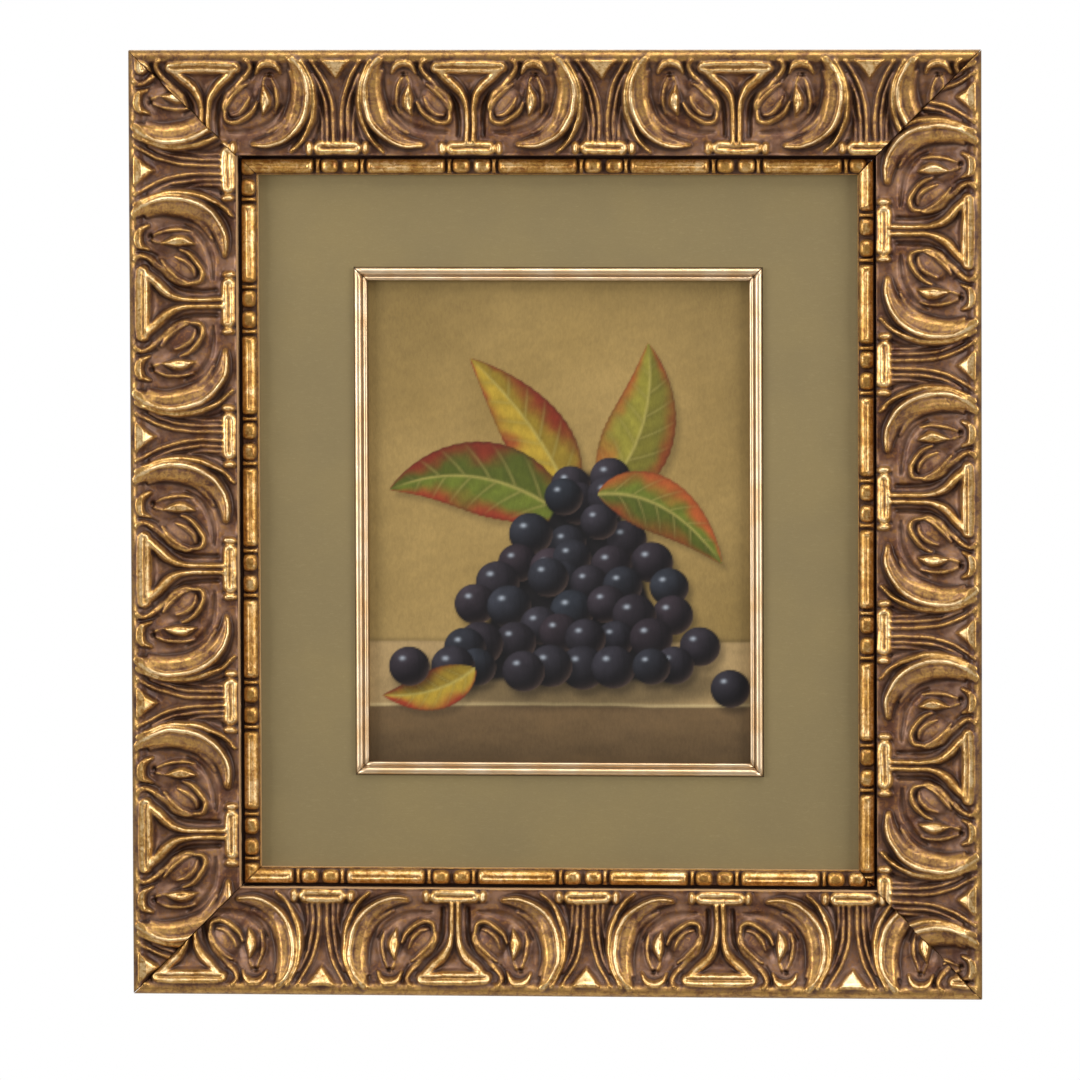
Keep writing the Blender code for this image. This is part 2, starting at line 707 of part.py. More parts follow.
def make_fillets():
    window_inset = {
        "top": (FRAME_HEIGHT - SIGHT_HEIGHT) / 2 - FILLET_WIDTH,
        "left": (FRAME_WIDTH - SIGHT_WIDTH) / 2 - FILLET_WIDTH,
    }
    window_inset["bottom"], window_inset["right"] = window_inset["top"], window_inset["left"]
    window_length = {"top": SIGHT_WIDTH + 2 * FILLET_WIDTH, "left": SIGHT_HEIGHT + 2 * FILLET_WIDTH}
    window_length["bottom"], window_length["right"] = window_length["top"], window_length["left"]
    for side in SIDES:
        length = window_length[side]
        ends = (0.0, fillet_outline()), (0.0, fillet_outline())
        bm = swept_strip(ends, lambda v, length=length: mitre_limit(length, v))
        put_on_side(object_from(f"fillet_{side}", bm, "pale_gold_leaf", PALE_GOLD), side, window_inset[side])


def extruded(outline, low, high):
    """A plate with the given (x, z) outline between two depths along Y."""
    bm = bmesh.new()
    near = [bm.verts.new((x, low, z)) for x, z in outline]
    far = [bm.verts.new((x, high, z)) for x, z in outline]
    bm.faces.new(near)
    bm.faces.new(far)
    for a in range(len(outline)):
        b = (a + 1) % len(outline)
        bm.faces.new((near[a], near[b], far[b], far[a]))
    return bm


def hanger_mesh():
    """The sawtooth hanger: a strip with a raised middle between two nailed feet, toothed below."""
    foot_back = BACK_PLANE + FIT_GAP
    half = HANGER_LENGTH / 2
    bend = HANGER_FOOT - half
    raised = bend + HANGER_RISE
    outer = [(-half, foot_back + HANGER_SHEET), (bend, foot_back + HANGER_SHEET), (raised, 0.0)]
    inner = [(-half, foot_back), (bend + HANGER_BEND, foot_back), (raised + HANGER_BEND, -HANGER_SHEET)]
    outer += [(-x, y) for x, y in outer[::-1]]
    inner += [(-x, y) for x, y in inner[::-1]]
    bm = bmesh.new()
    section = outer + inner[::-1]
    rings = []
    for z in (-HANGER_HEIGHT / 2, HANGER_HEIGHT / 2):
        rings.append([bm.verts.new((x, y, z)) for x, y in section])
    count = len(section)
    for a in range(count):
        b = (a + 1) % count
        bm.faces.new((rings[0][a], rings[0][b], rings[1][b], rings[1][a]))
    bm.faces.new(rings[0])
    bm.faces.new(rings[1])
    return bm


def tooth_cutter():
    """The row of notches in the hanger's lower edge, as one zigzag plate."""
    reach = HANGER_LENGTH / 2 - HANGER_FOOT - TOOTH_MARGIN
    count = int(2 * reach / TOOTH_PITCH)
    start = -count * TOOTH_PITCH / 2
    base = -HANGER_HEIGHT / 2
    outline = []
    for number in range(count):
        x = start + number * TOOTH_PITCH
        outline += [(x, base + TOOTH_ROOT), (x + TOOTH_PITCH / 2, base + TOOTH_DEPTH)]
    outline.append((start + count * TOOTH_PITCH, base + TOOTH_ROOT))
    outline += [(-start, base - 2.0), (start, base - 2.0)]
    return extruded(outline, -HANGER_SHEET - 1.0, 1.0)


def round_bar(radii, steps=12):
    """A turned solid about Y from (y, radius) pairs."""
    bm = bmesh.new()
    rings = []
    for y, radius in radii:
        angles = (2 * math.pi * number / steps for number in range(steps))
        rings.append([bm.verts.new((radius * math.cos(a), y, radius * math.sin(a))) for a in angles])
    for ring, following in zip(rings, rings[1:]):
        for a in range(steps):
            b = (a + 1) % steps
            bm.faces.new((ring[a], ring[b], following[b], following[a]))
    bm.faces.new(rings[0])
    bm.faces.new(rings[-1])
    return bm


def nail_mesh(tip, under_head):
    """A round-headed nail whose point is at y = tip, with a small crown on its head."""
    return round_bar(
        (
            (tip, NAIL_TIP_RADIUS),
            (tip + NAIL_TIP, NAIL_SHANK_RADIUS),
            (under_head, NAIL_SHANK_RADIUS),
            (under_head, NAIL_HEAD_RADIUS),
            (under_head + NAIL_HEAD, NAIL_HEAD_RADIUS),
            (under_head + NAIL_CROWN, NAIL_HEAD_RADIUS * NAIL_CROWN_SHARE),
        )
    )


def nail_hole_mesh(tip, under_head):
    """The clearance hole of a nail, from just below its head to just past its point."""
    radius = NAIL_SHANK_RADIUS + FIT_GAP
    start = tip - NAIL_HOLE_REACH
    return round_bar(((start, FIT_GAP), (tip + NAIL_TIP, radius), (under_head + FIT_GAP / 2, radius)))


def make_hanger():
    """The hanger on the top rail's back, with a clearance hole under each nail."""
    hanger = object_from("hanger", hanger_mesh(), "bare_steel", STEEL)
    cut_with(hanger, "hanger_teeth", tooth_cutter())
    under_head = BACK_PLANE + FIT_GAP + HANGER_SHEET + FIT_GAP
    tip = BACK_PLANE - NAIL_LENGTH
    for name, sign in (("left", -1), ("right", 1)):
        x = sign * (HANGER_LENGTH - HANGER_FOOT) / 2 * MM
        nail = object_from(f"hanger_nail_{name}", nail_mesh(tip, under_head), "brass", BRASS)
        nail.location.x = x
        for target in (hanger, bpy.data.objects["rail_top"]):
            cut_with(target, f"nail_hole_{name}_{target.name}", nail_hole_mesh(tip, under_head)).location = (x, 0.0, 0.0)


def make_bumpers():
    """Felt bumpers at the lower corners, as thick as the hanger stands off the wall."""
    z = CENTRE_Z - FRAME_HEIGHT / 2 + BUMPER_INSET
    for name, sign in (("left", -1), ("right", 1)):
        bm = round_bar(((BACK_PLANE + FIT_GAP, BUMPER_RADIUS), (0.0, BUMPER_RADIUS)), steps=24)
        obj = object_from(f"bumper_{name}", bm, "felt", FELT)
        obj.location = (sign * (FRAME_WIDTH / 2 - BUMPER_INSET) * MM, 0.0, z * MM)


def main():
    clear_scene()
    make_rails()
    make_slips()
    make_boards()
    make_fillets()
    make_points()
    make_hanger()
    make_bumpers()


main()
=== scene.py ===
"""The framed picture's looks: carved gilt rails, beaded slip, pale gold fillet, mat and painted panel."""

import math

import bpy
import numpy as np
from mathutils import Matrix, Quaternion, Vector


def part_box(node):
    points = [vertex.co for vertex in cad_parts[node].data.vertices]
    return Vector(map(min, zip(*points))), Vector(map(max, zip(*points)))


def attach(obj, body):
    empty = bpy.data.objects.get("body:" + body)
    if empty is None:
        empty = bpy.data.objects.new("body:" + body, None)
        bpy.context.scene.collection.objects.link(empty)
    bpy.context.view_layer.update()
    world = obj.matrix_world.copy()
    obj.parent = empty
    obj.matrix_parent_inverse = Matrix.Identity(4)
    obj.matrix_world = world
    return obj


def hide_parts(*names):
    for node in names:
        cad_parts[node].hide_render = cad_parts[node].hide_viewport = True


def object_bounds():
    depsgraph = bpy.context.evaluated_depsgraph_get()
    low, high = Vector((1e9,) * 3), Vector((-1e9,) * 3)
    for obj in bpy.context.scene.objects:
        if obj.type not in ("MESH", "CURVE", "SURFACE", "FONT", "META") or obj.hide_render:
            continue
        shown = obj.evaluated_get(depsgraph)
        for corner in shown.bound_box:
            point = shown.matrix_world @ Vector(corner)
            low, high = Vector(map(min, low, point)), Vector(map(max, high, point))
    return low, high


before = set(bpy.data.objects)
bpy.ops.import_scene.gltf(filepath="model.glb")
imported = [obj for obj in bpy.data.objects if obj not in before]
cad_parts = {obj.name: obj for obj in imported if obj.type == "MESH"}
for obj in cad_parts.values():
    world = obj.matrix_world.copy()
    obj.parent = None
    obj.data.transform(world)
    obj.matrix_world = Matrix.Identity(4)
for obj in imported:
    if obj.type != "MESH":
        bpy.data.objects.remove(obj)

bl_info = {
    "name": "Carved Gilt Picture Frame",
    "version": (1, 0, 0),
    "blender": (4, 5, 0),
    "location": "View3D > Sidebar > Picture",
    "description": "Makes the carved rails, slip, fillet and painted panel of a framed picture",
    "category": "Add Mesh",
}

MM = 0.001

CAD_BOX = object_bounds()
LOW, HIGH = CAD_BOX

# Millimetres: the mouldings' back plane, how far their fronts may stand out from it, and half a mitre's gap
BACK_PLANE = -3.4
MOST_HEIGHT = 39.0
MITRE_HALF_GAP = 0.3 * math.sqrt(0.5)

# Quarter turns from the bottom side to each side
QUARTERS = {"bottom": 0, "right": 1, "top": 2, "left": 3}

# Where one goblet stands on each rail and one bar lies on each slip, from the middle of the side
GOBLET_AT = {"top": 43.5, "left": 24.0, "bottom": -53.0, "right": 13.5}
BAR_AT = {"top": 9.7, "left": -7.4, "bottom": -21.6, "right": -23.5}

# How much nearer the outer edge the carving starts on each rail
CARVING_SHIFT = {"top": 0.0, "left": 2.4, "bottom": 0.0, "right": 2.4}

# Millimetres in from the frame's outer edge: the rail's inner end, then the slip's outer end, its middle
# line and its inner end. The slip's ground is a height over the back, and the window is across and up.
RAIL_END = 54.3
SLIP_START, SLIP_MIDDLE, SLIP_END = 54.5, 59.8, 64.5
SLIP_GROUND = 19.0
MAT_WINDOW = (211.0, 262.0)

# The rail's plain front, and the backs of rail and slip: (in from the outer edge, height over the back)
RAIL_FRONT = (
    (0.0, 34.8), (1.2, 37.2), (3.2, 38.0), (5.4, 37.0), (7.4, 34.2),
    (13.0, 31.6), (21.0, 29.2), (31.0, 27.4), (41.0, 26.6), (55.0, 26.6),
)
RAIL_BACK = ((RAIL_END, 19.0), (46.0, 19.0), (46.0, 0.0), (4.4, 0.0), (4.4, 14.0))
SLIP_BACK = (
    (SLIP_END, 15.0), (57.5, 15.0), (57.5, 2.0), (46.4, 2.0), (46.4, 18.7), (SLIP_START, 18.7),
)

# Strokes of half a repeat of the carving, from the goblet's axis at 0 to the husk's at half a repeat.
# Each is (profile, height, gilding, points), and a point is (from the axis, from the outer edge, half width).
STROKES = (
    ("grooved", 3.6, 1.0, ((-9.0, 9.2, 3.1), (0.0, 9.2, 3.1), (9.0, 9.2, 3.1), (16.6, 9.2, 2.7))),
    ("round", 3.2, 0.85, (
        (15.4, 10.8, 2.0), (11.0, 15.0, 2.4), (6.4, 19.2, 2.3), (3.4, 23.6, 1.9), (2.0, 29.0, 1.5),
        (1.7, 36.0, 1.4), (1.7, 47.0, 1.4),
    )),
    ("round", 2.7, 0.5, (
        (22.6, 5.4, 0.9), (24.4, 8.4, 1.2), (22.5, 12.5, 1.3), (16.8, 18.3, 1.3), (11.6, 23.0, 1.3),
        (9.6, 28.2, 1.2), (9.8, 31.0, 0.9),
    )),
    ("round", 2.8, 0.65, (
        (10.4, 32.0, 0.9), (11.2, 36.4, 1.2), (15.6, 37.6, 1.4), (21.0, 35.2, 1.4), (25.2, 31.5, 1.2),
        (27.2, 27.0, 0.8),
    )),
    ("round", 2.3, 0.5, ((10.4, 31.0, 0.8), (12.6, 26.0, 1.2), (17.0, 21.2, 1.3), (22.0, 17.6, 0.8))),
    ("round", 1.8, 0.4, ((13.5, 33.6, 0.5), (17.5, 33.0, 1.1), (21.4, 29.4, 1.2), (23.8, 24.0, 0.6))),
    ("round", 3.2, 0.95, ((30.2, 33.8, 0.4), (31.6, 29.0, 2.3), (31.8, 25.4, 2.8), (30.8, 18.6, 0.5))),
    ("round", 1.6, 0.5, ((30.6, 18.0, 0.5), (31.6, 15.0, 0.8), (33.0, 11.6, 0.5))),
    ("round", 2.0, 0.45, ((36.6, 33.0, 0.4), (37.6, 27.0, 1.0), (37.0, 20.0, 1.0), (34.8, 14.0, 0.4))),
    ("round", 2.8, 0.9, (
        (27.2, 12.0, 0.8), (29.2, 8.4, 1.6), (33.5, 7.0, 1.9), (37.8, 8.4, 1.6), (39.8, 12.0, 0.8),
    )),
    ("round", 4.4, 1.1, (
        (46.4, 4.0, 0.9), (50.5, 9.8, 1.3), (53.6, 17.6, 1.7), (53.9, 25.9, 1.9), (51.9, 34.2, 1.9),
        (47.4, 41.6, 1.7), (40.2, 47.1, 1.4), (32.4, 49.6, 1.2), (24.7, 49.4, 0.7),
    )),
    ("round", 1.2, 0.3, (
        (44.6, 11.0, 1.0), (46.6, 17.5, 1.6), (46.6, 25.0, 1.9), (44.0, 32.4, 1.8), (39.2, 38.6, 1.5),
        (32.6, 42.6, 1.0),
    )),
    ("hollowed", 3.3, 0.9, (
        (45.6, 4.4, 1.4), (48.6, 10.5, 3.0), (50.6, 18.0, 4.5), (50.6, 25.5, 5.0), (48.8, 33.0, 5.0),
        (45.2, 39.8, 4.2), (39.0, 45.2, 3.4), (32.0, 48.0, 2.6), (24.6, 48.6, 1.3),
    )),
    ("round", 3.0, 0.8, (
        (44.6, 52.4, 0.9), (50.6, 46.0, 1.4), (55.2, 37.0, 1.7), (57.0, 28.0, 1.7), (56.4, 18.0, 1.5),
        (53.2, 9.6, 1.2), (50.6, 5.4, 0.8),
    )),
    ("round", 2.4, 0.4, (
        (66.4, 48.0, 1.0), (66.3, 34.0, 1.1), (65.2, 25.0, 1.1), (62.4, 16.5, 1.1), (58.5, 9.4, 1.0),
        (56.0, 5.6, 0.7),
    )),
    ("round", 1.9, 0.3, (
        (63.3, 48.0, 0.9), (63.2, 36.0, 1.0), (62.0, 26.0, 1.0), (59.2, 17.4, 0.9), (56.6, 11.8, 0.5),
    )),
    ("round", 1.4, 0.25, ((60.6, 49.0, 0.7), (60.4, 38.0, 0.9), (59.6, 29.0, 0.5))),
    ("grooved", 2.8, 1.0, ((-9.4, 50.4, 3.3), (0.0, 50.4, 3.3), (9.4, 50.4, 3.3))),
    ("round", 3.0, 1.0, ((14.6, 48.9, 1.9), (14.6, 51.9, 1.9))),
    ("grooved", 2.8, 1.0, ((59.7, 50.4, 3.4), (68.5, 50.4, 3.4), (77.3, 50.4, 3.4))),
    ("round", 3.0, 1.0, ((53.9, 48.9, 1.9), (53.9, 51.9, 1.9))),
)

# How much wider than their figures the strokes and cuts are made
STROKE_WIDTH = 1.14

# Cuts below the ground, in the same measures: (depth, points)
CUTS = (
    (1.3, ((31.0, 29.6, 0.3), (31.3, 26.2, 0.6), (30.9, 22.6, 0.3))),
    (1.6, ((32.6, 12.6, 1.2), (34.4, 12.6, 1.2))),
    (1.6, ((46.4, 50.4, 0.7), (49.4, 46.2, 1.3), (52.2, 40.6, 0.5))),
    (1.5, ((20.8, 14.2, 0.6), (13.8, 20.6, 1.5), (8.4, 26.0, 1.7), (6.6, 33.0, 1.6), (6.2, 44.0, 1.4))),
    (1.1, ((26.4, 6.4, 0.6), (26.6, 10.6, 1.2), (24.0, 15.4, 0.8))),
    (1.1, ((12.0, 42.4, 0.8), (20.0, 42.0, 1.8), (28.0, 40.4, 1.9), (35.0, 36.0, 1.5), (39.6, 29.0, 1.0))),
    (1.0, ((60.0, 22.0, 0.6), (60.4, 32.0, 1.2), (58.6, 42.0, 1.6), (56.4, 47.4, 1.0))),
)

# Domes: (middle, radii, height, gilding)
DOMES = (
    ((18.6, 27.6), (8.4, 9.0), 2.6, 0.12),
    ((32.4, 24.5), (7.4, 13.0), 1.6, 0.1),
    ((50.0, 25.0), (9.5, 22.0), 1.6, 0.1),
)


def srgb(red, green, blue):
    """A linear colour from 0 to 255 display values."""
    shown = np.array([red, green, blue]) / 255
    return np.where(shown <= 0.04045, shown / 12.92, ((shown + 0.055) / 1.055) ** 2.4)


def smooth_step(low, high, value):
    """0 at low, 1 at high, 3t^2 - 2t^3 between and level beyond. High may be the lesser."""
    t = np.clip((value - low) / (high - low), 0.0, 1.0)
    return t * t * (3 - 2 * t)


def blurred(field, sigma):
    """A grid of values spread by a Gaussian of sigma cells both ways, mirrored at its borders."""
    reach = int(3 * sigma) + 1
    weight = np.exp(-0.5 * (np.arange(-reach, reach + 1) / sigma) ** 2)
    weight /= weight.sum()
    for axis in (0, 1):
        held = np.pad(field, [(reach, reach) if a == axis else (0, 0) for a in (0, 1)], mode="reflect")
        size = field.shape[axis]
        parts = (w * np.take(held, range(i, i + size), axis=axis) for i, w in enumerate(weight))
        field = sum(parts)
    return field


def smooth_path(points, step):
    """Rows about step apart on the Catmull-Rom curve through rows of numbers, the first two a place."""
    held = np.array([points[0], *points, points[-1]], float)
    found = [held[1:2]]
    for a, b, c, d in zip(held, held[1:], held[2:], held[3:]):
        count = max(1, round(float(np.linalg.norm(c[:2] - b[:2])) / step))
        t = (np.arange(1, count + 1) / count)[:, None]
        curve = 2 * b + (c - a) * t + (2 * a - 5 * b + 4 * c - d) * t**2 + (3 * b - a - 3 * c + d) * t**3
        found.append(0.5 * curve)
    return np.vstack(found)


def stroke_share(x, v, points):
    """How far each place of a grid is from a stroke's middle line, as a share of its half width there.

    For every straight piece of the line it is the distance to the piece over the half width at
    the nearest point, and the least of these counts."""
    line = smooth_path(points, 1.2)
    reach = line[:, 2].max() * STROKE_WIDTH
    inside = (
        (x > line[:, 0].min() - reach) & (x < line[:, 0].max() + reach)
        & (v > line[:, 1].min() - reach) & (v < line[:, 1].max() + reach)
    )
    place = np.column_stack([x[inside], v[inside]])
    start, along = line[:-1], np.diff(line, axis=0)
    length = np.maximum((along[:, :2] ** 2).sum(1), 1e-9)
    offset = place[:, None, :] - start[None, :, :2]
    t = np.clip((offset * along[None, :, :2]).sum(2) / length, 0.0, 1.0)
    gap = np.linalg.norm(offset - t[..., None] * along[None, :, :2], axis=2)
    share = np.full(x.shape, 2.0)
    share[inside] = (gap / (STROKE_WIDTH * (start[None, :, 2] + t * along[None, :, 2]))).min(axis=1)
    return share


def stroke_height(profile, share):
    """Height over a stroke, 0 at its foot: round, grooved along its middle, or broad and flatter."""
    rise = np.clip(1 - share**2, 0.0, 1.0)
    if profile == "grooved":
        return rise**0.42 - 0.48 * np.clip(1 - (share / 0.32) ** 2, 0.0, 1.0)
    if profile == "hollowed":
        ripple = 0.035 * np.cos(share * 13.0) * (share < 0.9)
        return rise**0.6 * (1 - 0.25 * rise**2) + ripple
    return rise**0.75


class Carving:
    """Half a repeat of the rail's carving on a fine grid: height, gilding and hollows."""

    step = 0.25
    repeat = 137.0
    width = 55.0

    def __init__(self):
        """The height is the highest stroke, or the triangle at the husk's foot, over low domes, less the
        cuts, the goblet's triangular well and a fine line round each stroke, all softened a little."""
        rows = np.arange(0.0, self.repeat / 2 + self.step / 2, self.step)
        x, v = np.meshgrid(rows, np.arange(0.0, self.width + self.step / 2, self.step), indexing="ij")
        ridge, gilding, ground, outline = (np.zeros(x.shape) for _ in range(4))
        for profile, height, gilt, points in STROKES:
            share = stroke_share(x, v, points)
            outline = np.maximum(outline, np.exp(-(((share - 1.24) / 0.22) ** 2)))
            raised = stroke_height(profile, share)
            ridge = np.maximum(ridge, height * raised)
            rubbed = np.clip(raised * 1.12, 0.0, 1.0)
            if profile == "hollowed":
                dulled = 1 - 0.5 * smooth_step(26.0, 47.0, v)
                rubbed = np.clip(0.5 + 0.6 * share**2, 0.0, 1.0) * raised * dulled * 1.25
            gilding = np.maximum(gilding, gilt * rubbed)
        for (a, b), (across, deep), height, gilt in DOMES:
            raised = np.clip(1 - ((x - a) / across) ** 2 - ((v - b) / deep) ** 2, 0.0, 1.0)
            ground = np.maximum(ground, height * raised)
            gilding = np.maximum(gilding, gilt * raised)
        # The triangle at the husk's foot, with its point inwards
        half_wide, point, length = 8.4, 16.4, 11.0
        into_foot = half_wide * (point - v) / length - (self.repeat / 2 - x)
        foot = smooth_step(0.0, 1.8, into_foot) * smooth_step(4.6, 6.0, v)
        ridge = np.maximum(ridge, 2.9 * foot)
        gilding = np.maximum(gilding, 0.95 * foot)
        for depth, points in CUTS:
            ground -= depth * np.clip(1 - stroke_share(x, v, points) ** 2, 0.0, 1.0)
        # The triangular well in the goblet, from its rim to its point
        half_wide, start, point, length = 9.4, 12.3, 21.6, 9.0
        into_well = np.minimum(v - start, (half_wide * (point - v) / length - x) * 0.6)
        well = smooth_step(0.0, 2.2, into_well)
        beside_strokes = ridge < 0.4
        ground -= well * beside_strokes
        outline = outline * beside_strokes * smooth_step(5.0, 8.0, v)
        ground -= 0.8 * outline
        # The ground swells softly between the strokes, and what stands over its surroundings is rubbed
        swell = 0.45 * blurred(ridge, 7.0)
        height = blurred((np.maximum(ridge, swell) + 0.4 * swell + ground) * smooth_step(1.6, 6.4, v), 1.5)
        over = height - blurred(height, 8.0)
        self.height = height
        self.gilding = np.clip(np.maximum(blurred(gilding, 2.0), 0.6 * smooth_step(0.1, 1.4, over)), 0.0, 1.1)
        self.hollow = np.clip(-over / 1.1 + 0.45 * blurred(outline, 1.2), 0.0, 1.0) * (1 - 0.85 * well)

    def at(self, field, u, v, goblet_at):
        """A field's values at places on a rail, mirrored at each axis and blended between grid points."""
        half = self.repeat / 2
        x = np.abs((u - goblet_at + half) % self.repeat - half) / self.step
        y = np.clip(v, 0.0, self.width) / self.step
        i = np.minimum(x.astype(int), field.shape[0] - 2)
        j = np.minimum(y.astype(int), field.shape[1] - 2)
        a, b = x - i, y - j
        low = field[i, j] * (1 - a) + field[i + 1, j] * a
        high = field[i, j + 1] * (1 - a) + field[i + 1, j + 1] * a
        return low * (1 - b) + high * b


def clouds(p, q, size, seed):
    """Soft random patches from 0 to 1: random values on a coarse grid, blended between by
    3t^2 - 2t^3, summed over three octaves, each of half the size and strength of the last."""
    total, weight = np.zeros(np.shape(p)), 0.0
    for octave in range(3):
        cell = size / 2**octave
        values = np.random.default_rng(seed + octave).random((128, 128))
        x, y = p / cell + 40.3 + octave * 7.7, q / cell + 40.9
        i, j = np.floor(x).astype(int), np.floor(y).astype(int)
        a, b = smooth_step(0.0, 1.0, x - i), smooth_step(0.0, 1.0, y - j)
        near = values[i % 128, j % 128] * (1 - a) + values[(i + 1) % 128, j % 128] * a
        far = values[i % 128, (j + 1) % 128] * (1 - a) + values[(i + 1) % 128, (j + 1) % 128] * a
        total += (near * (1 - b) + far * b) * 0.5**octave
        weight += 0.5**octave
    return total / weight


def on_side(side, sizes, u, v, height):
    """Metres in the picture's own frame of places on one side.

    u runs along the side from its middle, v in from the frame's outer edge and height out from
    the back plane. Each side is the bottom one turned about the picture's middle by quarters."""
    wide, tall = sizes.width / MM, sizes.height / MM
    x, z = u, v - (tall if side in ("top", "bottom") else wide) / 2
    for _ in range(QUARTERS[side]):
        x, z = -z, x
    middle = HIGH.z / MM - tall / 2
    return np.stack([x, np.broadcast_to(BACK_PLANE - height, x.shape), z + middle], axis=-1) * MM


def moulding(name, points, smooth_rows, attributes, materials, slots):
    """A closed length of moulding from a grid of points, sections along it and rows round its section.

    Neighbouring sections are joined by four-sided faces, and one flat face closes each end.
    smooth_rows is how many rows of faces are shaded smooth, and slots gives each row's material."""
    sections, rows = points.shape[:2]
    index = np.arange(sections * rows).reshape(sections, rows)
    nearer, further = index, np.roll(index, -1, axis=1)
    quads = np.stack([nearer[:-1], nearer[1:], further[1:], further[:-1]], axis=-1).reshape(-1, 4)
    ends = [index[0].tolist(), index[-1, ::-1].tolist()]
    mesh = bpy.data.meshes.new(name)
    mesh.from_pydata(points.reshape(-1, 3), [], [*quads.tolist(), *ends])
    row_of_face = np.concatenate([np.tile(np.arange(rows), sections - 1), [rows - 1, rows - 1]])
    mesh.polygons.foreach_set("use_smooth", row_of_face < smooth_rows)
    for material in materials:
        mesh.materials.append(material)
    mesh.polygons.foreach_set("material_index", np.asarray(slots)[row_of_face].astype(np.int32))
    add_attributes(mesh, attributes)
    return link(name, mesh)


def add_attributes(mesh, attributes):
    """Puts numbers, vectors or colours on a mesh's points."""
    kinds = {1: ("FLOAT", "value"), 3: ("FLOAT_VECTOR", "vector"), 4: ("FLOAT_COLOR", "color")}
    for name, values in attributes.items():
        kind, field = kinds[values.size // len(mesh.vertices)]
        mesh.attributes.new(name, kind, "POINT").data.foreach_set(field, values.astype(np.float32).ravel())


def link(name, mesh):
    mesh.update()
    obj = bpy.data.objects.new(name, mesh)
    bpy.context.scene.collection.objects.link(obj)
    return obj


def along_side(length, rows, step):
    """A grid of u for a mitred moulding: evenly spaced sections whose ends lean 45 degrees with v."""
    count = int(length / step) + 1
    limit = length / 2 - rows - MITRE_HALF_GAP
    return limit[None, :] * np.linspace(-1.0, 1.0, count)[:, None]


def lay_out(side, sizes, front, back, step):
    """The rows round a moulding's section, which of them are on its front, and u and v at each point."""
    rows = np.append(front, [v for v, _ in back])
    length = (sizes.width if side in ("top", "bottom") else sizes.height) / MM
    u = along_side(length, rows, step)
    return rows, np.arange(len(rows)) < len(front), u, np.broadcast_to(rows, u.shape)


def run_of(u, rows, heights, height):
    """Metres along a moulding, round its section and out from its back, for grain that runs along it."""
    steps = np.hypot(np.diff(rows, prepend=rows[:1]), np.diff(heights, prepend=heights[:1]))
    return np.stack([u, np.broadcast_to(np.cumsum(steps), u.shape), height], axis=-1) * MM


def make_rail(side, sizes, carving, materials):
    """One carved rail: its plain front, softened, plus the carving, and flat back and rebate faces.

    As in hand work, the carving wanders and varies in depth a little, by soft random patches."""
    front = np.linspace(0.0, RAIL_END, 110)
    knots, levels = np.array(RAIL_FRONT).T
    fine = np.arange(-6.0, 61.0, 0.1)
    plain = np.interp(fine, knots, levels)
    spread = np.exp(-0.5 * (np.arange(-20, 21) / 6.0) ** 2)
    softened = np.interp(front, fine, np.convolve(plain, spread / spread.sum(), mode="same"))
    softened[0] = levels[0]
    heights = np.append(softened, [h for _, h in RAIL_BACK])
    rows, on_front, u, v = lay_out(side, sizes, front, RAIL_BACK, 0.62)

    # The carving, its places and depth varied
    seed = 1000 + 100 * QUARTERS[side]
    drift = [1.1 * (clouds(u, v, 9.0, seed + more) - 0.5) for more in (0, 20)]
    from_edge = v + drift[1] * smooth_step(3.0, 9.0, v) + CARVING_SHIFT[side] * (1 - v / 52.0)
    place = u + drift[0], from_edge, GOBLET_AT[side]
    raised = carving.at(carving.height, *place) * sizes.relief * (0.84 + 0.32 * clouds(u, v, 13.0, seed + 40))
    worked = 0.5 * (clouds(u, v, 5.0, seed + 60) - 0.5) * smooth_step(0.0, 2.0, v)
    worked = worked * smooth_step(RAIL_END, 52.5, v)
    inner_edge = smooth_step(53.2, 53.8, v)
    height = np.minimum(heights + raised + 0.5 * inner_edge + worked, MOST_HEIGHT)
    height = np.where(on_front, height, heights)

    # Leaf on the outer lip, the raised strokes and the inner edge; wash in the carving's hollows, on the
    # plain lip and in the line behind it
    lip = 1 - smooth_step(5.2, 8.2, from_edge)
    gilding = np.maximum(0.2 + 0.85 * carving.at(carving.gilding, *place), 0.85 * lip)
    gilding = np.maximum(gilding, 0.36 * inner_edge) * on_front
    hollow = carving.at(carving.hollow, *place) * on_front
    hollow = np.maximum(hollow, 0.2 * lip * smooth_step(1.6, 0.8, raised))
    hollow = np.maximum(hollow, 0.6 * np.exp(-(((from_edge - 7.4) / 0.9) ** 2)) * (raised < 1.0))
    rail = moulding(
        f"carved_rail_{side}",
        on_side(side, sizes, u, v, height),
        len(front) - 1,
        {"gilding": gilding, "hollow": hollow, "run": run_of(u, rows, heights, height)},
        materials,
        [0] * (len(front) - 1) + [2] * (len(RAIL_BACK) - 1) + [1, 1],
    )
    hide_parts(f"rail_{side}")
    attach(rail, "root")


